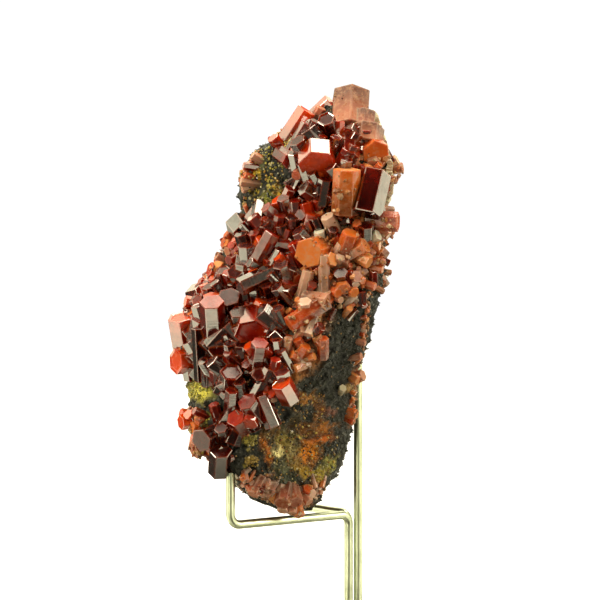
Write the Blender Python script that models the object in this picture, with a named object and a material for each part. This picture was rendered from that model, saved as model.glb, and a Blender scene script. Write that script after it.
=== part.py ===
"""Vanadinite crystals on black manganese matrix, standing in an easel of bent round wire.

The script works in millimetres and writes metres. +X is the viewer's right, +Y runs away
from the viewer and +Z is up. The origin is the middle of the base plate's underside.
"""

import math
import random

import bmesh
import bpy
from mathutils import Matrix, Vector, noise
from mathutils.bvhtree import BVHTree

MM = 0.001

# Driving dimensions of the wire easel, in millimetres
ROD_DIAMETER = 2.0
BEND_RADIUS = 2.4
ARM_HEIGHT = 28.2
HOOK_TOP = 39.8
BACK_ROD_TOP = 75.0
NEAR_ARM_LENGTH = 32.9
FAR_ARM_LENGTH = 19.5
NEAR_POST = (14.73, 7.0)
FAR_POST = (14.80, 9.3)
BACK_POST = (16.96, 8.2)
NEAR_ARM_ANGLE = 215.9
FAR_ARM_ANGLE = 133.0
ROD_FOOT = 1.3
BEND_STEPS = 6
ROD_SIDES_STEP = 3

# Driving dimensions of the base plate
PLATE_WIDTH = 70.0
PLATE_DEPTH = 50.0
PLATE_THICKNESS = 5.0
PLATE_CORNER = 6.0
PLATE_EDGE = 0.6
PLATE_CORNER_STEPS = 6
PLATE_EDGE_STEPS = 2

# Clearance between pieces that touch
CLEARANCE = 0.3

# The matrix as sections, from the foot to the crown: height, then the x and y of the
# left side, the front ridge, the right side and the back
SECTIONS = (
    (29.8, (-1.0, 0.0), (1.5, -3.5), (5.0, 3.0), (5.0, 19.5)),
    (32.5, (-6.5, -1.5), (-1.0, -6.0), (6.8, 3.0), (5.0, 21.0)),
    (37.0, (-11.0, -4.5), (-5.6, -11.5), (9.6, 2.0), (4.0, 20.5)),
    (43.7, (-15.5, -8.5), (-8.0, -13.5), (12.6, 2.0), (3.0, 18.0)),
    (50.6, (-20.0, -6.5), (-5.0, -16.0), (14.2, 2.0), (1.0, 17.0)),
    (57.4, (-21.0, -4.0), (0.0, -17.0), (15.6, 2.0), (-1.0, 16.0)),
    (64.0, (-21.0, -2.0), (5.0, -18.0), (17.2, 1.0), (-2.0, 16.0)),
    (71.0, (-21.5, -2.0), (9.0, -18.0), (18.2, 1.0), (-2.0, 16.0)),
    (78.0, (-19.0, -1.0), (12.0, -17.0), (19.0, 0.0), (-1.0, 16.0)),
    (85.0, (-15.5, -1.0), (14.0, -16.0), (20.2, -1.0), (1.0, 16.0)),
    (91.7, (-12.0, 0.0), (15.0, -15.0), (21.0, -2.0), (3.0, 15.0)),
    (98.6, (-9.0, 0.0), (15.0, -14.0), (22.0, -2.0), (5.0, 14.0)),
    (105.0, (-8.5, 0.0), (12.0, -13.0), (22.8, -2.0), (6.0, 13.0)),
    (112.0, (-5.0, 0.0), (10.0, -11.0), (22.0, -1.0), (8.0, 11.0)),
    (118.0, (4.0, 0.0), (12.0, -8.0), (19.6, -1.0), (12.0, 8.0)),
    (122.0, (9.5, 0.0), (13.0, -4.0), (17.0, 0.0), (13.0, 5.0)),
)
MATRIX_ROWS = 29
RING_POINTS = 24
FLATNESS = 1.15
CROWN_POINT = (13.2, 0.0, 124.0)
FOOT_POINT = (3.0, 8.0, 29.6)
MATRIX_MIDDLE = Vector((1.0, 0.0, 78.0))
MATRIX_REACH = Vector((27.0, 22.0, 48.0))
LUMP_SIZE = 11.0
LUMP_HEIGHT = 2.0
LEDGE_SIZE = 4.6
LEDGE_HEIGHT = 2.2
LEDGE_SHIFT = Vector((31.0, 7.0, 3.0))

# The eye that the crystals are laid out from: their x and z are where this eye sees the
# middle of the end face against the plane y = 0
EYE = Vector((3.425, -380.0, 78.0))
EMBED = 2.0
PROUD = 0.75
SMALLEST_RADIUS = 1.0

# Crystals of the crown: x, z, radius, length, heading, tilt, roll, rise, kind.
# The heading is the axis's direction as seen (0 right, 90 up), the tilt turns it towards
# the viewer, the roll turns it on its axis, and the rise lifts it off the matrix.
CROWN = (
    (15.7, 119.5, 4.7, 7.6, 266, 27, 30, 0.0, "red"),
    (4.9, 121.2, 2.3, 6.5, 56, 12, 20, 0.0, "orange"),
    (8.6, 125.6, 2.0, 5.2, 42, 20, 0, 0.0, "orange"),
    (9.3, 119.0, 2.1, 3.5, 110, 55, 0, 1.0, "red"),
    (8.3, 121.8, 1.3, 3.0, 60, 20, 0, 0.0, "tan"),
    (6.8, 118.6, 1.1, 5.0, 62, 25, 0, 0.5, "red"),
    (4.9, 118.0, 1.4, 6.0, 58, 15, 10, 0.0, "red"),
    (8.6, 115.4, 1.3, 3.4, 68, 20, 0, 0.6, "red"),
    (11.7, 115.1, 1.5, 3.0, 75, 30, 15, 0.6, "red"),
    (10.6, 113.0, 1.2, 2.5, 200, 50, 0, 0.6, "red"),
    (4.7, 113.4, 1.3, 3.6, 60, 30, 20, 0.0, "red"),
    (2.6, 111.2, 0.9, 2.4, 60, 40, 0, 0.0, "red"),
    (7.3, 108.5, 4.5, 2.6, 272, 45, 48, 0.3, "red"),
    (14.6, 110.4, 2.4, 2.8, 268, 25, 0, 0.6, "red"),
    (18.6, 113.4, 3.7, 2.4, 262, 22, 0, 0.0, "red"),
    (17.6, 117.0, 3.2, 2.0, 265, 25, 30, 0.0, "tan"),
    (21.0, 111.5, 2.4, 3.6, 300, 60, 10, 0.3, "tan"),
    (17.8, 111.0, 1.7, 3.0, 260, 40, 0, 0.6, "red"),
    (20.0, 108.5, 2.0, 2.8, 280, 40, 0, 0.0, "tan"),
    (1.2, 109.5, 1.9, 3.0, 320, 52, 20, 0.3, "red"),
    (2.2, 106.3, 1.6, 2.5, 230, 50, 0, 0.4, "orange"),
    (-2.8, 115.0, 1.4, 2.2, 130, 30, 0, 0.0, "orange"),
    (-7.5, 111.0, 1.0, 2.2, 150, 20, 0, 0.0, "tan"),
    (-9.5, 108.6, 0.9, 2.8, 172, 15, 0, 0.0, "red"),
    (-9.3, 106.5, 1.0, 2.4, 160, 20, 0, 0.0, "orange"),
    (-10.1, 105.0, 1.1, 2.8, 175, 15, 20, 0.0, "tan"),
    (-9.8, 103.1, 0.9, 2.2, 200, 20, 0, 0.0, "tan"),
)

# Crystals of the right shoulder
SHOULDER = (
    (14.0, 107.4, 3.1, 7.6, 88, 12, 0, 0.4, "orange"),
    (12.6, 99.3, 2.0, 2.5, 240, 50, 0, 0.6, "orange"),
    (14.9, 98.6, 1.4, 2.0, 280, 50, 0, 0.6, "orange"),
    (20.6, 106.8, 3.8, 8.0, 76, 12, 40, 0.0, "red"),
    (26.0, 110.0, 1.4, 3.4, 28, 15, 0, 0.0, "tan"),
    (26.9, 108.2, 1.3, 4.0, 8, 15, 20, 0.0, "tan"),
    (25.5, 105.2, 1.0, 2.6, 340, 20, 0, 0.0, "tan"),
    (18.3, 100.6, 1.0, 1.6, 60, 60, 0, 0.8, "cream"),
    (25.6, 95.8, 2.3, 5.2, 357, 15, 10, 0.0, "orange"),
    (23.6, 92.6, 1.1, 2.6, 320, 20, 0, 0.0, "tan"),
    (18.5, 95.0, 2.1, 3.0, 90, 60, 0, 0.0, "dark"),
    (4.2, 103.5, 2.2, 3.0, 200, 55, 10, 0.0, "dark"),
    (9.3, 105.4, 2.0, 3.0, 100, 50, 15, 0.6, "red"),
    (6.1, 105.2, 1.0, 2.0, 90, 40, 0, 0.6, "red"),
    (7.4, 100.6, 1.1, 3.2, 100, 30, 0, 0.0, "red"),
    (9.2, 99.9, 1.0, 2.2, 45, 30, 0, 0.0, "red"),
    (9.6, 97.0, 2.0, 2.6, 120, 60, 0, 0.3, "tan"),
    (7.8, 93.6, 1.7, 2.2, 100, 60, 0, 0.3, "cream"),
    (11.0, 94.0, 1.3, 2.4, 80, 50, 0, 0.3, "dark"),
    (15.0, 93.2, 2.4, 3.4, 70, 45, 0, 0.3, "orange"),
    (16.0, 91.0, 1.4, 2.4, 300, 50, 0, 0.4, "orange"),
    (13.1, 90.4, 1.4, 2.0, 60, 60, 0, 0.0, "tan"),
    (18.3, 90.5, 2.2, 3.0, 30, 55, 0, 0.0, "orange"),
    (19.2, 86.5, 1.8, 2.8, 330, 45, 0, 0.0, "orange"),
    (21.2, 92.8, 1.3, 2.4, 30, 30, 0, 0.0, "cream"),
    (22.6, 87.0, 1.1, 2.4, 10, 20, 0, 0.0, "orange"),
    (22.2, 84.9, 0.9, 2.0, 350, 20, 0, 0.0, "orange"),
    (20.5, 81.0, 1.0, 2.0, 340, 20, 0, 0.0, "orange"),
)

# Deep red crystals of the coated face, upper half
UPPER_FACE = (
    (-0.4, 101.2, 1.7, 3.8, 110, 35, 10, 0.3, "red"),
    (2.2, 100.6, 1.5, 3.6, 95, 25, 0, 0.3, "red"),
    (-3.3, 99.5, 1.3, 3.0, 100, 30, 0, 0.0, "red"),
    (-6.3, 96.1, 1.8, 2.8, 262, 40, 0, 0.3, "red"),
    (-1.0, 97.2, 1.5, 3.2, 80, 30, 10, 0.3, "red"),
    (1.7, 96.8, 1.6, 3.2, 90, 40, 0, 0.3, "red"),
    (3.5, 97.3, 1.5, 2.6, 140, 60, 0, 0.3, "red"),
    (4.6, 94.9, 1.2, 2.6, 60, 30, 0, 0.3, "tan"),
    (-10.2, 96.3, 1.1, 2.4, 130, 20, 0, 0.0, "orange"),
    (-9.0, 92.9, 3.2, 2.4, 305, 50, 10, 0.6, "red"),
    (-8.7, 90.4, 2.3, 4.2, 95, 20, 30, 0.0, "dark"),
    (-2.9, 93.0, 2.1, 6.6, 60, 12, 35, 1.2, "red"),
    (1.1, 90.5, 1.4, 3.2, 352, 12, 15, 1.0, "red"),
    (0.7, 94.0, 0.9, 2.6, 72, 15, 0, 1.0, "red"),
    (0.8, 88.3, 1.0, 2.8, 112, 15, 10, 1.0, "red"),
    (-11.5, 88.6, 1.2, 2.2, 220, 40, 0, 0.6, "red"),
    (-12.8, 87.0, 1.3, 2.5, 200, 50, 0, 0.0, "red"),
    (-10.9, 87.0, 1.5, 2.5, 250, 50, 0, 0.3, "red"),
    (-10.1, 81.0, 2.2, 6.4, 205, 20, 0, 1.4, "red"),
    (-8.0, 86.5, 1.3, 3.4, 150, 30, 0, 0.8, "red"),
    (-11.3, 84.4, 2.0, 3.6, 120, 55, 20, 0.6, "red"),
    (-14.0, 84.8, 1.8, 3.6, 100, 40, 0, 0.0, "red"),
    (-12.6, 78.8, 2.7, 3.8, 100, 50, 10, 1.0, "red"),
    (-1.0, 86.2, 2.6, 3.2, 90, 60, 30, 0.4, "dark"),
    (-1.0, 89.1, 1.5, 4.0, 58, 15, 20, 0.8, "red"),
    (-1.9, 81.0, 1.8, 3.2, 200, 50, 0, 0.4, "red"),
    (0.7, 82.0, 1.7, 3.2, 60, 50, 15, 0.4, "red"),
    (-0.3, 79.0, 1.9, 3.2, 260, 40, 0, 0.4, "red"),
    (2.1, 80.2, 1.5, 2.8, 330, 45, 0, 0.2, "red"),
    (-13.4, 93.2, 1.2, 2.4, 140, 20, 0, 0.0, "orange"),
    (-14.2, 91.0, 1.3, 2.4, 170, 25, 0, 0.0, "orange"),
    (-13.3, 89.0, 1.4, 2.5, 200, 30, 0, 0.0, "tan"),
    (-17.2, 85.0, 1.8, 2.8, 165, 25, 0, 0.0, "orange"),
    (-15.7, 88.0, 0.9, 2.0, 150, 20, 0, 0.0, "tan"),
    (-18.8, 80.0, 2.9, 3.2, 15, 60, 0, 0.4, "red"),
    (-22.7, 77.7, 1.4, 3.0, 170, 20, 0, 0.0, "orange"),
)

# Deep red crystals of the coated face, lower half
LOWER_FACE = (
    (-23.6, 74.4, 3.3, 6.8, 98, 24, 20, 0.0, "red"),
    (-22.3, 69.8, 2.3, 7.0, 97, 8, 8, 1.2, "red"),
    (-19.3, 72.0, 2.2, 11.5, 93, 12, 15, 1.0, "dark"),
    (-25.2, 64.0, 3.0, 4.4, 185, 35, 0, 0.0, "orange"),
    (-16.5, 77.4, 2.9, 8.6, 92, 38, 0, 1.4, "red"),
    (-19.8, 76.8, 1.8, 4.6, 105, 15, 20, 0.8, "red"),
    (-12.0, 73.5, 1.8, 4.2, 48, 12, 20, 2.0, "red"),
    (-7.6, 70.6, 4.0, 3.6, 265, 55, 20, 0.8, "red"),
    (-5.7, 68.2, 2.0, 3.2, 110, 62, 5, 2.4, "red"),
    (-4.3, 65.6, 1.7, 3.0, 280, 45, 0, 0.8, "red"),
    (-15.9, 61.9, 1.3, 2.2, 90, 60, 0, 0.3, "red"),
    (-15.2, 66.8, 2.3, 3.8, 95, 45, 0, 0.4, "dark"),
    (-12.2, 61.6, 2.5, 3.8, 85, 48, 0, 0.6, "red"),
    (-11.5, 64.4, 1.7, 2.6, 260, 45, 0, 0.6, "red"),
    (-8.8, 63.5, 1.2, 2.2, 130, 60, 0, 0.8, "red"),
    (-3.7, 62.2, 1.4, 5.0, 62, 12, 25, 1.2, "red"),
    (-5.8, 61.2, 1.8, 2.8, 100, 60, 0, 0.6, "dark"),
    (-0.7, 59.0, 2.6, 3.0, 20, 55, 10, 0.3, "orange"),
    (-3.6, 56.8, 1.4, 2.2, 80, 50, 0, 0.6, "orange"),
    (-8.5, 54.8, 2.6, 3.2, 180, 62, 20, 0.8, "red"),
    (-5.3, 56.1, 2.1, 5.0, 112, 12, 0, 1.4, "red"),
    (-8.0, 49.9, 1.9, 3.4, 255, 40, 0, 0.4, "orange"),
    (-12.0, 56.8, 1.4, 4.0, 85, 12, 0, 0.8, "red"),
    (-11.2, 51.2, 2.1, 3.0, 120, 55, 0, 0.6, "red"),
    (-16.2, 55.2, 1.2, 4.4, 105, 15, 0, 0.4, "red"),
    (-19.2, 45.3, 2.9, 3.4, 215, 58, 20, 0.8, "red"),
    (-24.0, 50.0, 1.8, 3.4, 190, 30, 0, 0.0, "orange"),
    (-23.9, 52.2, 1.2, 2.8, 165, 25, 0, 0.0, "orange"),
    (-22.1, 52.0, 1.4, 2.6, 140, 40, 0, 0.4, "orange"),
    (-22.8, 45.0, 1.3, 3.0, 170, 20, 0, 0.0, "orange"),
    (-22.5, 42.6, 1.8, 3.8, 210, 30, 0, 0.0, "tan"),
    (-20.2, 42.6, 1.9, 3.4, 275, 40, 0, 0.6, "orange"),
    (-14.5, 43.2, 2.6, 5.6, 88, 30, 35, 1.0, "red"),
    (-16.4, 38.5, 1.1, 2.2, 188, 15, 0, 0.6, "tan"),
    (-17.3, 41.4, 1.4, 2.8, 290, 30, 0, 1.0, "orange"),
    (-14.5, 48.8, 1.6, 3.0, 100, 45, 0, 0.3, "dark"),
    (-21.0, 48.7, 1.0, 2.4, 60, 50, 0, 0.8, "red"),
)

# Small orange and tan crystals of the front ridge, the right edge and the foot
RIDGE = (
    (5.4, 88.6, 3.7, 3.4, 200, 60, 25, 0.3, "orange"),
    (8.8, 88.0, 1.3, 5.4, 92, 12, 0, 1.0, "tan"),
    (10.9, 87.3, 1.7, 2.6, 20, 45, 0, 0.6, "orange"),
    (12.6, 87.7, 1.1, 2.0, 60, 50, 0, 0.6, "tan"),
    (14.6, 84.6, 1.0, 3.0, 93, 12, 0, 0.6, "red"),
    (16.4, 83.3, 1.5, 2.2, 30, 55, 0, 0.0, "tan"),
    (12.6, 84.2, 1.8, 2.6, 100, 50, 0, 0.0, "dark"),
    (13.3, 80.5, 1.7, 2.6, 280, 50, 0, 0.0, "orange"),
    (15.8, 79.6, 1.3, 2.2, 320, 50, 0, 0.0, "orange"),
    (5.3, 84.4, 1.4, 5.0, 75, 12, 0, 0.4, "tan"),
    (6.3, 81.5, 1.2, 2.4, 60, 50, 0, 0.4, "red"),
    (1.2, 72.6, 2.0, 7.4, 213, 15, 10, 0.8, "orange"),
    (9.5, 77.4, 2.3, 3.0, 350, 50, 0, 0.3, "tan"),
    (4.4, 77.6, 1.6, 3.0, 100, 40, 0, 0.6, "tan"),
    (8.2, 72.0, 1.4, 2.6, 40, 50, 0, 0.3, "red"),
    (5.2, 70.0, 1.5, 2.4, 250, 55, 0, 0.3, "tan"),
    (8.7, 69.2, 1.3, 2.8, 90, 30, 0, 0.3, "orange"),
    (9.2, 67.2, 1.2, 2.0, 320, 50, 0, 0.0, "orange"),
    (2.8, 69.0, 1.4, 2.4, 120, 50, 0, 0.3, "orange"),
    (4.7, 67.5, 1.7, 2.4, 60, 60, 0, 0.3, "orange"),
    (0.8, 69.2, 1.1, 3.0, 80, 25, 0, 0.6, "tan"),
    (1.5, 65.6, 1.4, 2.2, 150, 60, 0, 0.3, "orange"),
    (6.6, 65.2, 1.3, 2.0, 20, 55, 0, 0.0, "orange"),
    (2.4, 62.4, 1.2, 1.8, 200, 60, 0, 0.0, "orange"),
    (4.3, 62.8, 1.0, 1.6, 320, 60, 0, 0.0, "tan"),
    (17.8, 60.9, 1.4, 2.6, 20, 30, 0, 0.0, "tan"),
    (16.7, 59.6, 1.2, 2.2, 330, 35, 0, 0.0, "orange"),
    (17.4, 65.2, 0.9, 2.0, 10, 25, 0, 0.0, "tan"),
    (18.3, 68.2, 0.8, 1.8, 350, 20, 0, 0.0, "tan"),
    (16.2, 51.9, 1.3, 2.4, 350, 30, 0, 0.0, "orange"),
    (15.6, 50.1, 0.9, 2.0, 330, 30, 0, 0.0, "orange"),
    (13.2, 58.0, 0.9, 1.6, 60, 60, 0, 0.0, "cream"),
    (-7.4, 33.8, 1.4, 2.8, 240, 30, 0, 0.0, "orange"),
    (-5.6, 34.4, 1.0, 2.2, 280, 40, 0, 0.0, "red"),
    (-0.6, 31.8, 2.0, 3.0, 260, 45, 0, 0.3, "tan"),
    (-2.6, 32.4, 1.3, 2.4, 230, 40, 0, 0.0, "orange"),
    (2.5, 32.0, 1.7, 2.8, 290, 45, 0, 0.6, "orange"),
    (-0.5, 29.9, 1.4, 3.0, 262, 30, 0, 0.9, "orange"),
    (1.7, 29.4, 1.2, 3.2, 268, 30, 10, 1.2, "orange"),
    (3.4, 28.9, 1.3, 3.6, 286, 30, 0, 1.2, "orange"),
    (5.2, 35.1, 1.2, 2.2, 60, 45, 0, 0.0, "orange"),
    (6.4, 33.8, 1.2, 2.2, 340, 40, 0, 0.0, "tan"),
    (5.6, 32.0, 1.1, 2.6, 310, 30, 0, 0.0, "tan"),
)

# The cream barite blade along the right edge, edge-on to the viewer: x and z
BLADE_LINE = (
    (20.1, 121.0),
    (21.3, 118.0),
    (22.3, 115.0),
    (23.3, 111.8),
    (24.1, 108.2),
    (24.3, 104.6),
    (23.8, 101.2),
    (22.6, 98.6),
    (20.6, 97.6),
)
BLADE_THICKNESS = 1.3
BLADE_FRONT = -8.5
BLADE_BACK = 2.0

# Seeded small crystals where the layout above leaves the coat open. The back carries
# crystals only near the crown and down its right edge.
FILL_SEED = 4127
FILL_SPACING = 3.4
FILL_LEAN = 0.55
FILL_RADIUS = (1.1, 1.9)
FILL_LENGTH = (1.4, 2.8)
FRONT_FILL = 13
FRONT_HEIGHTS = (44.0, 104.0)
FRONT_MARGIN = 2.0
FLANK_FILL = 20
FLANK_HEIGHTS = (42.0, 110.0)
BACK_FILL = 9
BACK_HEIGHTS = (80.0, 118.0)
BACK_CROWN = 96.0
FACING = 0.35
EDGE_FACING = 0.55

KINDS = ("matrix", "red", "dark", "orange", "tan", "cream")
KIND_COLOURS = {
    "matrix": ("manganese_oxide_matrix", (0.020, 0.023, 0.016), 0.75),
    "red": ("vanadinite_red", (0.220, 0.014, 0.006), 0.25),
    "dark": ("vanadinite_maroon", (0.070, 0.008, 0.006), 0.25),
    "orange": ("vanadinite_orange", (0.520, 0.110, 0.020), 0.35),
    "tan": ("vanadinite_crusted", (0.480, 0.210, 0.110), 0.55),
    "cream": ("barite_cream", (0.680, 0.600, 0.400), 0.55),
}


def clear_scene():
    for obj in list(bpy.data.objects):
        bpy.data.objects.remove(obj, do_unlink=True)


def make_material(name, colour, roughness, metallic=0.0):
    material = bpy.data.materials.new(name)
    material.use_nodes = True
    shader = material.node_tree.nodes["Principled BSDF"]
    shader.inputs["Base Color"].default_value = (*colour, 1.0)
    shader.inputs["Roughness"].default_value = roughness
    shader.inputs["Metallic"].default_value = metallic
    material.diffuse_color = (*colour, 1.0)
    return material


def link_object(name, data, materials):
    obj = bpy.data.objects.new(name, data)
    for material in materials:
        data.materials.append(material)
    bpy.context.scene.collection.objects.link(obj)
    return obj


def mesh_from(name, bm):
    mesh = bpy.data.meshes.new(name)
    bm.to_mesh(mesh)
    bm.free()
    return mesh


def make_guide(obj):
    obj.hide_render = True
    obj.display_type = "WIRE"


# The matrix

def curve_value(before, start, end, after, t):
    """A Catmull-Rom value between start and end."""
    return 0.5 * (
        2.0 * start
        + (end - before) * t
        + (2.0 * before - 5.0 * start + 4.0 * end - after) * t * t
        + (3.0 * start - before - 3.0 * end + after) * t * t * t
    )


def section_at(height):
    """The four corner points of the section at this height, smoothed between the sections."""
    last = len(SECTIONS) - 1
    index = 0
    while index < last - 1 and SECTIONS[index + 1][0] <= height:
        index += 1
    rows = [SECTIONS[min(max(index + step, 0), last)] for step in (-1, 0, 1, 2)]
    t = (height - rows[1][0]) / (rows[2][0] - rows[1][0])
    corners = []
    for side in range(1, 5):
        corner = [
            curve_value(*(row[side][axis] for row in rows), t) for axis in range(2)
        ]
        corners.append(Vector(corner))
    return corners


def crossing(left, front, right, back):
    """Where the line from left to right crosses the line from front to back."""
    across = right - left
    along = back - front
    denominator = across.x * along.y - across.y * along.x
    offset = front - left
    t = (offset.x * along.y - offset.y * along.x) / denominator
    return left + across * t


def outline_point(corners, turn):
    """A point of the section's outline, a share of the turn from its left side."""
    left, front, right, back = corners
    centre = crossing(left, front, right, back)
    quarter, part = divmod(4.0 * turn, 1.0)
    start = corners[int(quarter) % 4]
    end = corners[(int(quarter) + 1) % 4]
    towards_start = math.cos(0.5 * math.pi * part) ** FLATNESS
    towards_end = math.sin(0.5 * math.pi * part) ** FLATNESS
    return centre + (start - centre) * towards_start + (end - centre) * towards_end


def weathered(point, outward):
    """A point of the matrix moved out or in by its lumps and ledges."""
    lump = noise.noise(point / LUMP_SIZE)
    ledge = 0.5 - abs(noise.noise(point / LEDGE_SIZE + LEDGE_SHIFT))
    return point + outward * (LUMP_HEIGHT * lump + LEDGE_HEIGHT * ledge)


def matrix_bmesh():
    """A ball whose rows of points are laid on the sections, with the poles at foot and crown."""
    lowest, highest = SECTIONS[0][0], SECTIONS[-1][0]
    bm = bmesh.new()
    bmesh.ops.create_uvsphere(
        bm, u_segments=RING_POINTS, v_segments=MATRIX_ROWS, radius=1.0
    )
    for vert in bm.verts:
        row = MATRIX_ROWS * (0.5 + math.asin(max(-1.0, min(1.0, vert.co.z))) / math.pi)
        if row < 0.5:
            vert.co = FOOT_POINT
            continue
        if row > MATRIX_ROWS - 0.5:
            vert.co = CROWN_POINT
            continue
        height = lowest + (highest - lowest) * (row - 1.0) / (MATRIX_ROWS - 2.0)
        corners = section_at(height)
        turn = math.atan2(-vert.co.y, -vert.co.x) / math.tau % 1.0
        flat = outline_point(corners, turn)
        middle = sum(corners, Vector((0.0, 0.0))) / 4.0
        outward = (flat - middle).normalized().to_3d()
        vert.co = weathered(Vector((flat.x, flat.y, height)), outward)
    bmesh.ops.recalc_face_normals(bm, faces=bm.faces)
    return bm


# The crystals

def seen_point(x, z, surface):
    """Where the eye sees the surface at x and z of the plane y = 0, or the nearest point."""
    sight = (Vector((x, 0.0, z)) - EYE).normalized()
    hit = surface.ray_cast(EYE, sight)[0]
    if hit:
        return hit
    nearest = None
    closest = math.inf
    for depth in range(-16, 17, 2):
        on_sight = EYE + sight * ((depth - EYE.y) / sight.y)
        found, _, _, distance = surface.find_nearest(on_sight)
        if distance < closest:
            nearest, closest = found, distance
    return nearest


def crystal_frame(heading, tilt, roll):
    """The axis of a crystal, and its two cross directions turned by the roll."""
    h, t = math.radians(heading), math.radians(tilt)
    axis = Vector((math.cos(t) * math.cos(h), -math.sin(t), math.cos(t) * math.sin(h)))
    across = Vector((-math.sin(h), 0.0, math.cos(h)))
    facing = axis.cross(across)
    turn = math.radians(roll - 30.0)
    u = across * math.cos(turn) + facing * math.sin(turn)
    return axis, u, axis.cross(u)


def add_prism(bm, root, end, u, v, radius, kind):
    """A hexagonal prism with its axis from root to end."""
    axis = (end - root).normalized()
    middle = (root + end) / 2.0
    place = Matrix.Translation(middle) @ Matrix((u, v, axis)).transposed().to_4x4()
    made = bmesh.ops.create_cone(
        bm,
        cap_ends=True,
        cap_tris=False,
        segments=6,
        radius1=radius,
        radius2=radius,
        depth=(end - root).length,
        matrix=place,
    )
    for face in {face for vert in made["verts"] for face in vert.link_faces}:
        face.material_index = KINDS.index(kind)


def plant_crystal(bm, surface, row):
    """One crystal of the layout, rooted in the matrix. Gives the middle of its end face."""
    x, z, radius, length, heading, tilt, roll, rise, kind = row
    axis, u, v = crystal_frame(heading, tilt, roll)
    seen = seen_point(x - length * axis.x, z - length * axis.z, surface)
    towards_eye = (EYE - seen).normalized()
    lift = rise + PROUD * radius * math.cos(math.radians(tilt))
    root = seen + towards_eye * lift
    end = root + axis * length
    add_prism(bm, root - axis * (EMBED + rise), end, u, v, radius, kind)
    return end


def on_front(spot, normal):
    """The crystal-coated side: left of the front ridge and facing the viewer."""
    left_of_ridge = spot.x < section_at(spot.z)[1].x - FRONT_MARGIN
    low, high = FRONT_HEIGHTS
    return normal.y < -FACING and left_of_ridge and low < spot.z < high


def on_flank(spot, normal):
    low, high = FLANK_HEIGHTS
    return normal.x < -FACING and normal.y > -FACING and low < spot.z < high


def on_back(spot, normal):
    low, high = BACK_HEIGHTS
    near_rim = spot.z > BACK_CROWN or normal.x > EDGE_FACING
    return normal.y > 0.0 and near_rim and low < spot.z < high


def scatter(bm, surface, count, taken, chance, wanted):
    """Small crystals standing on the matrix at seeded places that are wanted and free."""
    while count:
        corner = Vector(chance.uniform(-1.0, 1.0) for _ in range(3))
        guess = MATRIX_MIDDLE + corner * MATRIX_REACH
        spot, normal, _, _ = surface.find_nearest(guess)
        if not wanted(spot, normal):
            continue
        radius = chance.uniform(*FILL_RADIUS)
        length = chance.uniform(*FILL_LENGTH)
        lean = Vector(chance.uniform(-FILL_LEAN, FILL_LEAN) for _ in range(3))
        axis = (normal + lean).normalized()
        end = spot + axis * length
        if any((end - other).length < FILL_SPACING for other in taken):
            continue
        u = axis.orthogonal().normalized()
        u.rotate(Matrix.Rotation(chance.uniform(0.0, math.pi / 3.0), 3, axis))
        kind = chance.choice(("red", "red", "orange", "tan"))
        add_prism(bm, spot - axis * EMBED, end, u, axis.cross(u), radius, kind)
        taken.append(end)
        count -= 1


def crystal_bmesh(surface):
    bm = bmesh.new()
    ends = []
    for row in CROWN + SHOULDER + UPPER_FACE + LOWER_FACE + RIDGE:
        if row[2] >= SMALLEST_RADIUS:
            ends.append(plant_crystal(bm, surface, row))
    chance = random.Random(FILL_SEED)
    scatter(bm, surface, FRONT_FILL, ends, chance, on_front)
    scatter(bm, surface, FLANK_FILL, ends, chance, on_flank)
    scatter(bm, surface, BACK_FILL, ends, chance, on_back)
    return bm


def blade_bmesh():
    """The barite blade: a strip bent along its line, then thickened."""
    steps = len(BLADE_LINE) - 1
    bm = bmesh.new()
    bmesh.ops.create_grid(bm, x_segments=steps, y_segments=1, size=1.0)
    for vert in bm.verts:
        x, z = BLADE_LINE[round((vert.co.x + 1.0) / 2.0 * steps)]
        vert.co = (x, BLADE_FRONT if vert.co.y < 0.0 else BLADE_BACK, z)
    bmesh.ops.recalc_face_normals(bm, faces=bm.faces)
    bmesh.ops.solidify(bm, geom=bm.faces[:], thickness=BLADE_THICKNESS)
    bmesh.ops.recalc_face_normals(bm, faces=bm.faces)
    for face in bm.faces:
        face.material_index = KINDS.index("cream")
    return bm


# The wire easel

def bent_path(points):
    """A path through right-angled corners, each rounded to the bend radius."""
    path = [points[0]]
    for before, corner, after in zip(points, points[1:], points[2:]):
        arriving = (corner - before).normalized()
        leaving = (after - corner).normalized()
        centre = corner + (leaving - arriving) * BEND_RADIUS
        for step in range(BEND_STEPS + 1):
            angle = 0.5 * math.pi * step / BEND_STEPS
            from_centre = arriving * math.sin(angle) - leaving * math.cos(angle)
            path.append(centre + from_centre * BEND_RADIUS)
    path.append(points[-1])
    return path


def arm_points(post, angle, length):
    """The rod of one arm: up the post, out along the arm and up at its end."""
    out = Vector((math.cos(math.radians(angle)), math.sin(math.radians(angle)), 0.0))
    foot = Vector((*post, ROD_FOOT))
    elbow = Vector((*post, ARM_HEIGHT))
    toe = elbow + out * length
    return [foot, elbow, toe, Vector((toe.x, toe.y, HOOK_TOP))]


def rod_curve(name, path, radius):
    curve = bpy.data.curves.new(name, "CURVE")
    curve.dimensions = "3D"
    curve.bevel_depth = radius * MM
    curve.bevel_resolution = ROD_SIDES_STEP
    curve.use_fill_caps = True
    spline = curve.splines.new("POLY")
    spline.points.add(len(path) - 1)
    for target, point in zip(spline.points, path):
        target.co = (*(point * MM), 1.0)
        target.radius = 1.0
    for spline in curve.splines:
        spline.use_smooth = True
    return curve


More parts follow.
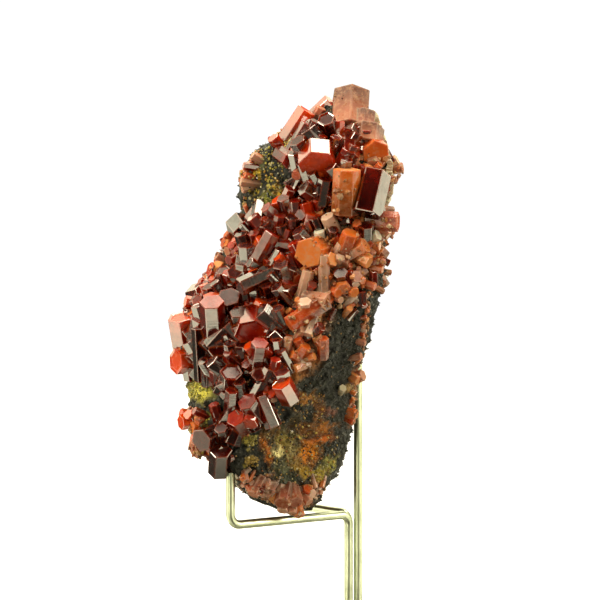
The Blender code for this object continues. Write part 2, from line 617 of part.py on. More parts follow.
def rod_clearance(name, path):
    """A closed tube a little wider than the rod, for cutting its room out of a solid."""
    curve = rod_curve(name + "_path", path, ROD_DIAMETER / 2.0 + CLEARANCE)
    guide = bpy.data.objects.new(name + "_path", curve)
    bpy.context.scene.collection.objects.link(guide)
    bpy.context.view_layer.update()
    graph = bpy.context.evaluated_depsgraph_get()
    mesh = bpy.data.meshes.new_from_object(guide.evaluated_get(graph))
    bpy.data.objects.remove(guide, do_unlink=True)
    bm = bmesh.new()
    bm.from_mesh(mesh)
    bmesh.ops.remove_doubles(bm, verts=bm.verts, dist=1e-6)
    bmesh.ops.recalc_face_normals(bm, faces=bm.faces)
    obj = link_object(name, mesh_from(name, bm), [])
    make_guide(obj)
    return obj


def boolean(obj, other, operation, with_itself=False):
    modifier = obj.modifiers.new(operation.title() + "_" + other.name, "BOOLEAN")
    modifier.operation = operation
    modifier.object = other
    modifier.solver = "EXACT"
    modifier.use_self = with_itself
    modifier.material_mode = "INDEX"
    return modifier


def shells_of(bm):
    """The faces of each separate closed surface."""
    unseen = set(bm.faces)
    while unseen:
        shell = [unseen.pop()]
        for face in shell:
            near = {other for edge in face.edges for other in edge.link_faces} & unseen
            unseen -= near
            shell.extend(near)
        yield shell


def enclosed_volume(shell):
    volume = 0.0
    for face in shell:
        corners = [vert.co for vert in face.verts]
        for second, third in zip(corners[1:], corners[2:]):
            volume += corners[0].dot(second.cross(third)) / 6.0
    return volume


def fused(obj):
    """Applies the modifiers and fills the small hollows that crystals close between them."""
    bpy.context.view_layer.update()
    graph = bpy.context.evaluated_depsgraph_get()
    bm = bmesh.new()
    bm.from_object(obj, graph)
    obj.modifiers.clear()
    shells = sorted(shells_of(bm), key=enclosed_volume)
    spare = [face for shell in shells[:-1] for face in shell]
    bmesh.ops.delete(bm, geom=spare, context="FACES")
    bm.to_mesh(obj.data)
    bm.free()


def lengthened(path):
    """The same path with both ends pushed out by the clearance."""
    first = path[0] + (path[0] - path[1]).normalized() * CLEARANCE
    last = path[-1] + (path[-1] - path[-2]).normalized() * CLEARANCE
    return [first, *path[1:-1], last]


def plate_mesh():
    bm = bmesh.new()
    bmesh.ops.create_cube(bm, size=1.0)
    bmesh.ops.scale(bm, verts=bm.verts, vec=(PLATE_WIDTH, PLATE_DEPTH, PLATE_THICKNESS))
    bmesh.ops.translate(bm, verts=bm.verts, vec=(0.0, 0.0, PLATE_THICKNESS / 2.0))
    upright = [
        edge for edge in bm.edges if abs(edge.verts[0].co.z - edge.verts[1].co.z) > 1.0
    ]
    bmesh.ops.bevel(
        bm,
        geom=upright,
        offset=PLATE_CORNER,
        segments=PLATE_CORNER_STEPS,
        profile=0.5,
        affect="EDGES",
        material=-1,
    )
    rim = [
        edge
        for edge in bm.edges
        if all(vert.co.z > PLATE_THICKNESS - 0.01 for vert in edge.verts)
    ]
    bmesh.ops.bevel(
        bm,
        geom=rim,
        offset=PLATE_EDGE,
        segments=PLATE_EDGE_STEPS,
        profile=0.5,
        affect="EDGES",
        material=-1,
    )
    bmesh.ops.scale(bm, verts=bm.verts, vec=(MM, MM, MM))
    return mesh_from("base_plate", bm)


def build():
    clear_scene()
    kind_materials = [
        make_material(KIND_COLOURS[kind][0], *KIND_COLOURS[kind][1:]) for kind in KINDS
    ]
    wire = make_material("nickel_plated_wire", (0.62, 0.61, 0.55), 0.2, 1.0)
    steel = make_material("brushed_plate_steel", (0.56, 0.56, 0.54), 0.35, 1.0)

    near_path = bent_path(arm_points(NEAR_POST, NEAR_ARM_ANGLE, NEAR_ARM_LENGTH))
    far_path = bent_path(arm_points(FAR_POST, FAR_ARM_ANGLE, FAR_ARM_LENGTH))
    back_path = [
        Vector((*BACK_POST, ROD_FOOT)),
        Vector((*BACK_POST, BACK_ROD_TOP)),
    ]
    rods = {"near_arm": near_path, "far_arm": far_path, "back_rod": back_path}
    for name, path in rods.items():
        link_object(name, rod_curve(name, path, ROD_DIAMETER / 2.0), [wire])
    rooms = [rod_clearance(name + "_room", lengthened(path)) for name, path in rods.items()]

    matrix = matrix_bmesh()
    surface = BVHTree.FromBMesh(matrix)
    crystals = crystal_bmesh(surface)
    blade = blade_bmesh()
    for bm in (matrix, crystals, blade):
        bmesh.ops.scale(bm, verts=bm.verts, vec=(MM, MM, MM))
    specimen = link_object("specimen", mesh_from("specimen", matrix), kind_materials)
    for name, grown in (("barite_blade", blade), ("crystal_coat", crystals)):
        guide = link_object(name, mesh_from(name, grown), kind_materials)
        make_guide(guide)
        boolean(specimen, guide, "UNION", with_itself=grown is crystals)
    for room in rooms:
        boolean(specimen, room, "DIFFERENCE")
    fused(specimen)

    plate = link_object("base_plate", plate_mesh(), [steel])
    for room in rooms:
        boolean(plate, room, "DIFFERENCE")


build()
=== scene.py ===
"""The vanadinite specimen in its wire easel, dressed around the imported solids.

Lengths are in millimetres, and each mesh is scaled to metres when it is finished. A crystal
is placed by where the camera sees the middle of its end face against the plane y = 0.
"""

import math
import random

import bmesh
import bpy
from mathutils import Matrix, Vector, noise
from mathutils.bvhtree import BVHTree


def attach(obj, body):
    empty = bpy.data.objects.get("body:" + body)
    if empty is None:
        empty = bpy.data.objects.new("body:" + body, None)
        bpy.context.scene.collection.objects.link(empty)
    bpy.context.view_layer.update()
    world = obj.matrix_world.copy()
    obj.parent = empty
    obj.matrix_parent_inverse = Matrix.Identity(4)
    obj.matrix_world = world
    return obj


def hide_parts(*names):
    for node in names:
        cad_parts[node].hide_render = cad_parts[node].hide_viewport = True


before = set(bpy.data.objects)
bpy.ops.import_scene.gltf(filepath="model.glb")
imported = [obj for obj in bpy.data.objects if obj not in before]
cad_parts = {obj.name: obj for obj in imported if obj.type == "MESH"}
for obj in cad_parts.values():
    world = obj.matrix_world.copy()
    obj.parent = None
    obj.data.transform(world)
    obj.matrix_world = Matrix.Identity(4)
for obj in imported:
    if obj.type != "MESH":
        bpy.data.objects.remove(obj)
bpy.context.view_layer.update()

# The camera stands level with the middle of the specimen, with a long lens. The square
# frame takes in 137 mm at the plane y = 0.
MM = 0.001
EYE = Vector((3.425, -380.0, 78.0))
camera_data = bpy.data.cameras.new("camera")
camera_data.lens = 99.84
camera_data.sensor_width = 36.0
camera_data.clip_start = 0.01
camera = bpy.data.objects.new("camera", camera_data)
camera.location = EYE * MM
camera.rotation_euler = (math.pi / 2.0, 0.0, 0.0)
bpy.context.scene.collection.objects.link(camera)
bpy.context.scene.camera = camera


# The studio: white all round, with the dark room behind the camera that the faces turned
# to it mirror, and large soft boxes to the left, to the right and overhead.
def linear(hex_colour):
    """An sRGB hex colour as linear RGBA."""
    channels = [int(hex_colour[place : place + 2], 16) / 255.0 for place in (1, 3, 5)]
    return (*((c / 12.92 if c <= 0.04045 else ((c + 0.055) / 1.055) ** 2.4) for c in channels), 1.0)


def add_node(tree, kind, inputs=None, **settings):
    """A node with its settings. Each input is a plain value or the socket that feeds it."""
    made = tree.nodes.new(kind)
    for name, value in settings.items():
        setattr(made, name, value)
    for key, value in (inputs or {}).items():
        if isinstance(value, bpy.types.NodeSocket):
            tree.links.new(value, made.inputs[key])
        else:
            made.inputs[key].default_value = value
    return made


PAPER_WHITE = 1.05
SKY_LIGHT = 0.54
GROUND_LIGHT = 0.26
CLOTH_DIM, CLOTH_BRIGHT = 0.12, 3.3
ROOM_DIRECTION = (0.0, -0.707, 0.707)
TABLE_DIRECTION = (0.30, -0.80, -0.52)
world = bpy.data.worlds.new("studio")
bpy.context.scene.world = world
world.use_nodes = True
sky = world.node_tree
sky.nodes.clear()
direction = add_node(sky, "ShaderNodeTexCoord").outputs["Generated"]
towards_room = add_node(
    sky, "ShaderNodeVectorMath", {0: direction, 1: ROOM_DIRECTION}, operation="DOT_PRODUCT"
).outputs["Value"]
out_of_room = add_node(
    sky,
    "ShaderNodeMapRange",
    {"Value": towards_room, "From Min": 0.62, "From Max": 0.79, "To Min": 1.0, "To Max": 0.01},
    interpolation_type="SMOOTHSTEP",
).outputs["Result"]
folds = add_node(sky, "ShaderNodeTexNoise", {"Vector": direction, "Scale": 2.3, "Detail": 2.0}).outputs["Fac"]
cloth = add_node(
    sky,
    "ShaderNodeMapRange",
    {"Value": folds, "From Min": 0.44, "From Max": 0.54, "To Min": CLOTH_DIM, "To Max": CLOTH_BRIGHT},
).outputs["Result"]
towards_table = add_node(
    sky, "ShaderNodeVectorMath", {0: direction, 1: TABLE_DIRECTION}, operation="DOT_PRODUCT"
).outputs["Value"]
off_table = add_node(
    sky,
    "ShaderNodeMapRange",
    {"Value": towards_table, "From Min": 0.80, "From Max": 0.93, "To Min": 1.0, "To Max": 0.06},
    interpolation_type="SMOOTHSTEP",
).outputs["Result"]
cloth_clear = add_node(sky, "ShaderNodeMath", {0: cloth, 1: out_of_room}, operation="MULTIPLY").outputs[0]
cloth_seen = add_node(sky, "ShaderNodeMath", {0: cloth_clear, 1: off_table}, operation="MULTIPLY").outputs[0]
upwards = add_node(sky, "ShaderNodeSeparateXYZ", {"Vector": direction}).outputs["Z"]
soft_light = add_node(
    sky,
    "ShaderNodeMapRange",
    {"Value": upwards, "From Min": -0.5, "From Max": 0.6, "To Min": GROUND_LIGHT, "To Max": SKY_LIGHT},
).outputs["Result"]
mirrored = add_node(sky, "ShaderNodeBackground", {"Color": linear("#F4ECCB"), "Strength": cloth_seen})
lit = add_node(sky, "ShaderNodeBackground", {"Color": linear("#FFF1D0"), "Strength": soft_light})
plain = add_node(sky, "ShaderNodeBackground", {"Color": linear("#FFFFFF"), "Strength": PAPER_WHITE})
ray = add_node(sky, "ShaderNodeLightPath")
unseen = add_node(
    sky, "ShaderNodeMixShader", {0: ray.outputs["Is Glossy Ray"], 1: lit.outputs[0], 2: mirrored.outputs[0]}
)
shown = add_node(
    sky, "ShaderNodeMixShader", {0: ray.outputs["Is Camera Ray"], 1: unseen.outputs[0], 2: plain.outputs[0]}
)
add_node(sky, "ShaderNodeOutputWorld", {"Surface": shown.outputs[0]})

BOX_COLOUR = "#FFF4DA"
SOFT_BOXES = (
    ("left_box", (-560.0, -330.0, 380.0), 250.0, 3.3),
    ("right_box", (600.0, -240.0, 260.0), 230.0, 1.6),
    ("top_box", (60.0, -10.0, 640.0), 360.0, 3.3),
)
for name, place, side, power in SOFT_BOXES:
    box_light = bpy.data.lights.new(name, "AREA")
    box_light.shape = "SQUARE"
    box_light.size = side * MM
    box_light.energy = power
    box_light.color = linear(BOX_COLOUR)[:3]
    soft_box = bpy.data.objects.new(name, box_light)
    soft_box.location = Vector(place) * MM
    aim = Vector((0.0, 0.0, 80.0)) - Vector(place)
    soft_box.rotation_euler = aim.to_track_quat("-Z", "Y").to_euler()
    bpy.context.scene.collection.objects.link(soft_box)

FLOOR_SIDE = 6000.0
floor_bm = bmesh.new()
bmesh.ops.create_grid(floor_bm, x_segments=1, y_segments=1, size=FLOOR_SIDE / 2.0 * MM)
floor_mesh = bpy.data.meshes.new("floor")
floor_bm.to_mesh(floor_mesh)
floor_bm.free()
floor = bpy.data.objects.new("floor", floor_mesh)
bpy.context.scene.collection.objects.link(floor)
floor.visible_glossy = False
floor.visible_diffuse = False
paper = bpy.data.materials.new("white_background_paper")
paper.use_nodes = True
paper_shader = paper.node_tree.nodes["Principled BSDF"]
paper_shader.inputs["Base Color"].default_value = linear("#FAFAF8")
paper_shader.inputs["Roughness"].default_value = 0.9
paper_shader.inputs["Emission Color"].default_value = linear("#FFFFFF")
paper_shader.inputs["Emission Strength"].default_value = 0.8
floor_mesh.materials.append(paper)
bpy.context.scene.view_settings.view_transform = "Standard"


# The matrix is a slab of black manganese oxide with ochre and yellow-green stains, broken
# rough on the bare side. It is one ball of points laid on the sections of the real slab.
SECTIONS = (
    (29.8, (-1.0, 0.0), (1.5, -3.5), (5.0, 3.0), (5.0, 19.5)),
    (32.5, (-6.5, -1.5), (-1.0, -6.0), (6.8, 3.0), (5.0, 21.0)),
    (37.0, (-11.0, -4.5), (-5.6, -11.5), (9.6, 2.0), (4.0, 20.5)),
    (43.7, (-15.5, -8.5), (-8.0, -13.5), (12.6, 2.0), (3.0, 18.0)),
    (50.6, (-20.0, -6.5), (-5.0, -16.0), (14.2, 2.0), (1.0, 17.0)),
    (57.4, (-21.0, -4.0), (0.0, -17.0), (15.6, 2.0), (-1.0, 16.0)),
    (64.0, (-21.0, -2.0), (5.0, -18.0), (17.2, 1.0), (-2.0, 16.0)),
    (71.0, (-21.5, -2.0), (9.0, -18.0), (18.2, 1.0), (-2.0, 16.0)),
    (78.0, (-19.0, -1.0), (12.0, -17.0), (19.0, 0.0), (-1.0, 16.0)),
    (85.0, (-15.5, -1.0), (14.0, -16.0), (20.2, -1.0), (1.0, 16.0)),
    (91.7, (-12.0, 0.0), (15.0, -15.0), (21.0, -2.0), (3.0, 15.0)),
    (98.6, (-9.0, 0.0), (15.0, -14.0), (22.0, -2.0), (5.0, 14.0)),
    (105.0, (-8.5, 0.0), (12.0, -13.0), (22.8, -2.0), (6.0, 13.0)),
    (112.0, (-5.0, 0.0), (10.0, -11.0), (22.0, -1.0), (8.0, 11.0)),
    (118.0, (4.0, 0.0), (12.0, -8.0), (19.6, -1.0), (12.0, 8.0)),
    (122.0, (9.5, 0.0), (13.0, -4.0), (17.0, 0.0), (13.0, 5.0)),
)
FLATNESS = 1.15
CROWN_POINT = Vector((13.2, 0.0, 124.0))
FOOT_POINT = Vector((3.0, 8.0, 29.6))
LUMP_SIZE = 11.0
LUMP_HEIGHT = 2.0
LEDGE_SIZE = 4.6
LEDGE_HEIGHT = 2.2
LEDGE_SHIFT = Vector((31.0, 7.0, 3.0))


def curve_value(before, start, end, after, t):
    """A Catmull-Rom value between start and end."""
    return 0.5 * (
        2.0 * start
        + (end - before) * t
        + (2.0 * before - 5.0 * start + 4.0 * end - after) * t * t
        + (3.0 * start - before - 3.0 * end + after) * t * t * t
    )


def section_at(height):
    """The four corner points of the section at this height, smoothed between the sections."""
    last = len(SECTIONS) - 1
    index = 0
    while index < last - 1 and SECTIONS[index + 1][0] <= height:
        index += 1
    rows = [SECTIONS[min(max(index + step, 0), last)] for step in (-1, 0, 1, 2)]
    t = (height - rows[1][0]) / (rows[2][0] - rows[1][0])
    corners = []
    for side in range(1, 5):
        corner = [curve_value(*(row[side][axis] for row in rows), t) for axis in range(2)]
        corners.append(Vector(corner))
    return corners


def outline_point(corners, turn):
    """A point of the section's outline, a share of the turn from its left side."""
    left, front, right, back = corners
    across = right - left
    along = back - front
    offset = front - left
    reach = (offset.x * along.y - offset.y * along.x) / (across.x * along.y - across.y * along.x)
    centre = left + across * reach
    quarter, part = divmod(4.0 * turn, 1.0)
    start = corners[int(quarter) % 4]
    end = corners[(int(quarter) + 1) % 4]
    towards_start = math.cos(0.5 * math.pi * part) ** FLATNESS
    towards_end = math.sin(0.5 * math.pi * part) ** FLATNESS
    return centre + (start - centre) * towards_start + (end - centre) * towards_end


def weathered(point, outward):
    """A point of the matrix moved out or in by its lumps and ledges."""
    lump = noise.noise(point / LUMP_SIZE)
    ledge = 0.5 - abs(noise.noise(point / LEDGE_SIZE + LEDGE_SHIFT))
    return point + outward * (LUMP_HEIGHT * lump + LEDGE_HEIGHT * ledge)


def matrix_ball(around, rows, cap_rows, finish):
    """A ball laid on the sections. Its first and last rows close the foot and the crown."""
    lowest, highest = SECTIONS[0][0], SECTIONS[-1][0]
    bm = bmesh.new()
    bmesh.ops.create_uvsphere(bm, u_segments=around, v_segments=rows, radius=1.0)
    for vert in bm.verts:
        row = rows * (0.5 + math.asin(max(-1.0, min(1.0, vert.co.z))) / math.pi)
        height_share = (row - cap_rows) / (rows - 2.0 * cap_rows)
        height = lowest + (highest - lowest) * min(max(height_share, 0.0), 1.0)
        corners = section_at(height)
        turn = math.atan2(-vert.co.y, -vert.co.x) / math.tau % 1.0
        flat = outline_point(corners, turn)
        middle = sum(corners, Vector((0.0, 0.0))) / 4.0
        outward = (flat - middle).normalized().to_3d()
        point = weathered(Vector((flat.x, flat.y, height)), outward)
        if row < cap_rows:
            point = FOOT_POINT.lerp(point, row / cap_rows)
            outward = Vector((0.0, 0.0, -1.0))
        elif row > rows - cap_rows:
            point = CROWN_POINT.lerp(point, (rows - row) / cap_rows)
            outward = Vector((0.0, 0.0, 1.0))
        vert.co = finish(point, outward)
    bmesh.ops.recalc_face_normals(bm, faces=bm.faces)
    return bm


# The outline of the specimen as the camera sees it, in x and z of the plane y = 0. Nothing
# small stands out of it.
OUTLINE = (
    (13.9, 127.8), (19.9, 125.3), (19.6, 120.2), (22.6, 117.3), (23.5, 113.4), (27.4, 111.1),
    (27.9, 107.7), (25.8, 104.7), (24.0, 102.0), (23.5, 97.4), (25.8, 95.8), (25.6, 92.4),
    (23.5, 89.4), (23.1, 86.0), (20.6, 81.4), (19.9, 75.7), (19.0, 68.9), (17.6, 62.0), (17.8, 58.6),
    (16.7, 55.2), (16.7, 50.6), (13.7, 46.0), (11.4, 40.3), (10.3, 34.6), (7.5, 32.3), (4.6, 28.9),
    (3.4, 27.8), (-0.5, 30.0), (-5.3, 32.3), (-10.3, 34.2), (-11.4, 38.0), (-16.0, 38.0),
    (-18.3, 41.5), (-23.5, 41.0), (-24.0, 42.6), (-21.2, 46.0), (-25.1, 49.5), (-24.4, 52.9),
    (-22.2, 55.2), (-21.7, 60.9), (-27.4, 62.0), (-27.9, 64.3), (-25.8, 67.7), (-26.9, 72.3),
    (-26.3, 75.7), (-22.8, 79.1), (-20.6, 82.6), (-18.3, 86.0), (-16.7, 88.3), (-14.4, 92.8),
    (-10.3, 98.6), (-9.1, 103.1), (-11.0, 105.4), (-10.3, 108.8), (-8.4, 111.1), (-5.3, 113.4),
    (-3.4, 116.8), (1.1, 119.6), (4.1, 124.4), (7.5, 125.3), (9.1, 122.5), (11.4, 127.1),
)


def seen_at(point):
    """Where the camera sees this point, as x and z of the plane y = 0."""
    scale = -EYE.y / (point.y - EYE.y)
    return EYE.x + (point.x - EYE.x) * scale, EYE.z + (point.z - EYE.z) * scale


def inside(outline, x, z):
    """Whether this place of the picture lies within the outline."""
    crossings = 0
    for (x0, z0), (x1, z1) in zip(outline, outline[1:] + outline[:1]):
        if (z0 > z) != (z1 > z) and x < x0 + (z - z0) / (z1 - z0) * (x1 - x0):
            crossings += 1
    return crossings % 2 == 1


def within_outline(point, radius):
    """Whether a lump of this radius stays within the specimen's outline."""
    x, z = seen_at(point)
    reach = 0.8 * radius
    return all(inside(OUTLINE, x + dx, z + dz) for dx in (-reach, reach) for dz in (-reach, reach))


# The rods press into the rock's skin, so its surface stays clear of them.
NEAR_POST = (14.73, 7.0)
FAR_POST = (14.80, 9.3)
BACK_POST = (16.96, 8.2)
NEAR_ARM_ANGLE = 215.9
FAR_ARM_ANGLE = 133.0
NEAR_ARM_LENGTH = 32.9
FAR_ARM_LENGTH = 19.5
ARM_HEIGHT = 28.2
HOOK_TOP = 39.8
BACK_ROD_TOP = 75.0
ROD_RADIUS = 1.0
ROD_GAP = 0.25


def arm_toe(post, angle, length):
    turn = math.radians(angle)
    return post[0] + length * math.cos(turn), post[1] + length * math.sin(turn)


near_toe = arm_toe(NEAR_POST, NEAR_ARM_ANGLE, NEAR_ARM_LENGTH)
far_toe = arm_toe(FAR_POST, FAR_ARM_ANGLE, FAR_ARM_LENGTH)
ROD_LINES = (
    (Vector((*NEAR_POST, ARM_HEIGHT)), Vector((*near_toe, ARM_HEIGHT))),
    (Vector((*near_toe, ARM_HEIGHT)), Vector((*near_toe, HOOK_TOP))),
    (Vector((*FAR_POST, ARM_HEIGHT)), Vector((*far_toe, ARM_HEIGHT))),
    (Vector((*far_toe, ARM_HEIGHT)), Vector((*far_toe, HOOK_TOP))),
    (Vector((*BACK_POST, ARM_HEIGHT)), Vector((*BACK_POST, BACK_ROD_TOP))),
)


def rod_distance(point):
    """How far the point is from the nearest rod's axis."""
    nearest = math.inf
    for start, end in ROD_LINES:
        along = end - start
        share = min(max((point - start).dot(along) / along.length_squared, 0.0), 1.0)
        nearest = min(nearest, (point - start - along * share).length)
    return nearest


CRAG_SIZES = ((2.6, 0.55), (1.15, 0.34), (0.55, 0.16))


def craggy(point, outward):
    """The skin of the bare rock: broken ledges and small pits at three sizes."""
    depth = 0.0
    for size, height in CRAG_SIZES:
        depth += height * (abs(noise.noise(point / size)) * 2.0 - 0.55)
    moved = point + outward * depth
    if point.z < BACK_ROD_TOP + 2.0:
        while rod_distance(moved) < ROD_RADIUS + ROD_GAP:
            moved -= outward * 0.1
    return moved


# Stains on the rock: x, z, half width, half height, turn, strength and colour
STAINS = (
    (4.5, 55.8, 3.0, 1.4, 0, 0.9, "#8A5A20"),
    (7.7, 52.2, 1.0, 3.0, 0, 0.8, "#7A4A18"),
    (5.5, 48.6, 4.2, 1.3, 0, 0.8, "#74481A"),
    (2.4, 51.0, 1.2, 3.0, 0, 0.6, "#4A3A18"),
    (9.8, 49.0, 2.6, 1.1, 10, 0.8, "#9A5E20"),
    (7.8, 46.2, 3.6, 1.1, 8, 0.9, "#A85A1A"),
    (5.4, 43.2, 2.8, 2.4, 20, 1.0, "#B5701C"),
    (-0.6, 46.0, 1.7, 3.0, 15, 0.8, "#9A8A4A"),
    (1.0, 43.4, 2.8, 2.2, 0, 0.7, "#8A7A48"),
    (-1.6, 43.2, 1.2, 1.4, 40, 1.0, "#D8CC90"),
    (-4.4, 43.6, 1.0, 3.4, 12, 0.9, "#A05A14"),
    (-3.4, 47.6, 1.8, 2.0, 0, 0.7, "#6A4A1C"),
    (3.0, 46.8, 1.1, 0.7, 0, 0.9, "#C8B860"),
    (4.4, 39.0, 3.8, 1.4, -28, 0.9, "#8A6C22"),
    (7.6, 38.4, 2.4, 1.4, 0, 0.9, "#8A7A2A"),
    (10.6, 40.8, 2.2, 1.3, 25, 0.9, "#8A8438"),
    (0.6, 37.0, 2.6, 2.8, 0, 0.7, "#30351F"),
    (-1.0, 39.6, 1.8, 1.2, 0, 0.6, "#5A5A38"),
    (-8.0, 46.2, 1.5, 0.9, 15, 0.9, "#B8AA50"),
    (-7.2, 41.3, 1.2, 0.8, 0, 0.9, "#B8A050"),
    (-8.7, 40.2, 1.0, 0.8, 0, 0.8, "#9A8A30"),
    (-8.7, 43.8, 0.8, 0.6, 0, 0.8, "#A89A58"),
    (-4.0, 37.3, 1.8, 0.9, 10, 0.8, "#A07058"),
    (-11.2, 36.7, 0.5, 1.5, 35, 1.0, "#F0E8D8"),
    (-19.3, 57.4, 2.8, 2.5, 0, 0.9, "#B8B048"),
    (-18.6, 51.0, 1.2, 1.6, 0, 0.9, "#A8A040"),
    (-6.8, 106.2, 0.6, 2.3, -10, 0.9, "#C8A828"),
    (-7.6, 103.6, 0.8, 1.2, 0, 0.8, "#A89028"),
    (-1.3, 102.7, 0.9, 1.5, 0, 0.9, "#B08A20"),
    (-4.5, 101.0, 2.0, 1.5, 30, 0.8, "#7A7A28"),
    (-5.0, 109.5, 1.2, 2.0, 0, 0.6, "#4A5024"),
    (1.5, 113.7, 1.3, 0.9, 20, 1.0, "#E8D890"),
    (-0.3, 115.1, 1.2, 0.6, 35, 1.0, "#F0EADC"),
    (0.0, 68.0, 3.0, 6.0, 0, 0.5, "#5A4020"),
    (4.0, 64.5, 5.0, 3.6, 30, 0.8, "#9A6230"),
    (1.5, 60.5, 3.0, 2.6, 45, 0.7, "#8A5A2C"),
    (7.0, 74.0, 4.0, 4.0, 0, 0.7, "#7A4A2C"),
    (13.0, 86.0, 5.0, 4.0, 0, 0.7, "#8A5236"),
    (19.5, 92.0, 2.6, 4.0, 0, 0.8, "#B09070"),
    (19.0, 84.0, 2.0, 4.0, 0, 0.6, "#6A5238"),
    (16.5, 60.0, 1.4, 3.0, 0, 0.7, "#9A6A40"),
    (14.5, 57.4, 1.6, 1.2, 0, 0.8, "#B09058"),
    (10.2, 52.6, 1.4, 1.0, 0, 0.7, "#7A4A3A"),
    (15.5, 51.0, 1.0, 2.0, 0, 0.8, "#A05E30"),
    (-2.0, 33.6, 3.0, 1.2, 0, 0.8, "#9A6A48"),
    (4.0, 33.0, 3.0, 2.0, 0, 0.8, "#A86A3C"),
    (7.0, 35.6, 1.6, 1.6, 0, 0.7, "#8A5A30"),
)
WARP_SIZE = 2.2
WARP_REACH = 1.6


def stain_at(point):
    """The stain's colour and strength at this point of the front."""
    red, green, blue, amount = 0.03, 0.03, 0.02, 0.0
    bend = noise.noise_vector(point / WARP_SIZE) * WARP_REACH
    x, z = seen_at(point)
    x, z = x + bend.x, z + bend.z
    for across, up, wide, tall, turn, strength, (r, g, b, _) in stains:
        dx, dz = x - across, z - up
        if abs(dx) > 7.0 or abs(dz) > 7.0:
            continue
        c, s = math.cos(turn), math.sin(turn)
        reach = math.hypot((dx * c + dz * s) / wide, (dz * c - dx * s) / tall)
        share = strength * min(max(1.6 - 1.1 * reach, 0.0), 1.0)
        red += (r - red) * share
        green += (g - green) * share
        blue += (b - blue) * share
        amount += (1.0 - amount) * share
    return STAIN_LIFT * red, STAIN_LIFT * green, STAIN_LIFT * blue, amount


STAIN_LIFT = 2.3
stains = [(*row[:4], math.radians(row[4]), row[5], linear(row[6])) for row in STAINS]


def finished_object(name, bm, material):
    """The mesh in metres, as a piece that rides on the one body."""
    bmesh.ops.scale(bm, verts=bm.verts, vec=(MM, MM, MM))
    mesh = bpy.data.meshes.new(name)
    bm.to_mesh(mesh)
    bm.free()
    mesh.materials.append(material)
    piece = bpy.data.objects.new(name, mesh)
    bpy.context.scene.collection.objects.link(piece)
    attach(piece, "root")
    return piece


# Manganese oxide: matt black with a green cast, fine glittering needles, and earthy ochre
# where it has weathered. The needles are 0.4 mm, and the pits 0.25 mm.
rock = bpy.data.materials.new("manganese_oxide_matrix")
rock.use_nodes = True
tree = rock.node_tree
shader = tree.nodes["Principled BSDF"]
place = add_node(tree, "ShaderNodeTexCoord").outputs["Object"]
needles = add_node(
    tree, "ShaderNodeTexVoronoi", {"Vector": place, "Scale": 1.0 / (0.9 * MM), "Randomness": 1.0}
)
grain = add_node(
    tree, "ShaderNodeTexNoise", {"Vector": place, "Scale": 1.0 / (1.4 * MM), "Detail": 6.0, "Roughness": 0.65}
)
black = add_node(
    tree,
    "ShaderNodeValToRGB",
    {"Fac": grain.outputs["Fac"]},
)
black.color_ramp.elements[0].position = 0.36
black.color_ramp.elements[0].color = linear("#030301")
black.color_ramp.elements[1].position = 0.72
black.color_ramp.elements[1].color = linear("#22240F")
stain = add_node(tree, "ShaderNodeAttribute", attribute_name="stain")
patchy = add_node(
    tree, "ShaderNodeTexNoise", {"Vector": place, "Scale": 1.0 / (0.8 * MM), "Detail": 5.0, "Roughness": 0.7}
)
held = add_node(
    tree,
    "ShaderNodeMapRange",
    {"Value": patchy.outputs["Fac"], "From Min": 0.40, "From Max": 0.50, "To Min": 0.2, "To Max": 1.0},
)
amount = add_node(
    tree, "ShaderNodeMath", {0: stain.outputs["Alpha"], 1: held.outputs["Result"]}, operation="MULTIPLY"
)
stained = add_node(
    tree,
    "ShaderNodeMix",
    {"Factor": amount.outputs[0], "A": black.outputs["Color"], "B": stain.outputs["Color"]},
    data_type="RGBA",
)
tree.links.new(stained.outputs["Result"], shader.inputs["Base Color"])
rough = add_node(
    tree,
    "ShaderNodeMapRange",
    {"Value": needles.outputs["Distance"], "From Min": 0.1, "From Max": 0.6, "To Min": 0.28, "To Max": 0.75},
)
tree.links.new(rough.outputs["Result"], shader.inputs["Roughness"])
height = add_node(
    tree, "ShaderNodeMath", {0: needles.outputs["Distance"], 1: grain.outputs["Fac"]}, operation="ADD"
)
bump = add_node(
    tree, "ShaderNodeBump", {"Strength": 0.8, "Distance": 0.5 * MM, "Height": height.outputs[0]}
)
tree.links.new(bump.outputs["Normal"], shader.inputs["Normal"])
shader.inputs["IOR"].default_value = 1.5

AROUND, ROWS, CAP_ROWS = 232, 412, 14
matrix_bm = matrix_ball(AROUND, ROWS, CAP_ROWS, craggy)
stain_layer = matrix_bm.verts.layers.float_color.new("stain")
for vert in matrix_bm.verts:
    if vert.co.y < 4.0:
        vert[stain_layer] = stain_at(vert.co)
    else:
        earthy = noise.noise(vert.co / 7.0) + 0.5 * noise.noise(vert.co / 2.0)
        vert[stain_layer] = (*linear("#7A5226")[:3], min(max(earthy * 2.4 - 0.5, 0.0), 0.9))
skin = BVHTree.FromBMesh(matrix_bm)
matrix_rock = finished_object("matrix_rock", matrix_bm, rock)
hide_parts("specimen")

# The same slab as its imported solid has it, which the crystals are rooted in
COARSE_AROUND, COARSE_ROWS = 24, 29
coarse_bm = matrix_ball(COARSE_AROUND, COARSE_ROWS, 1.0, lambda point, outward: point)
surface = BVHTree.FromBMesh(coarse_bm)
coarse_bm.free()


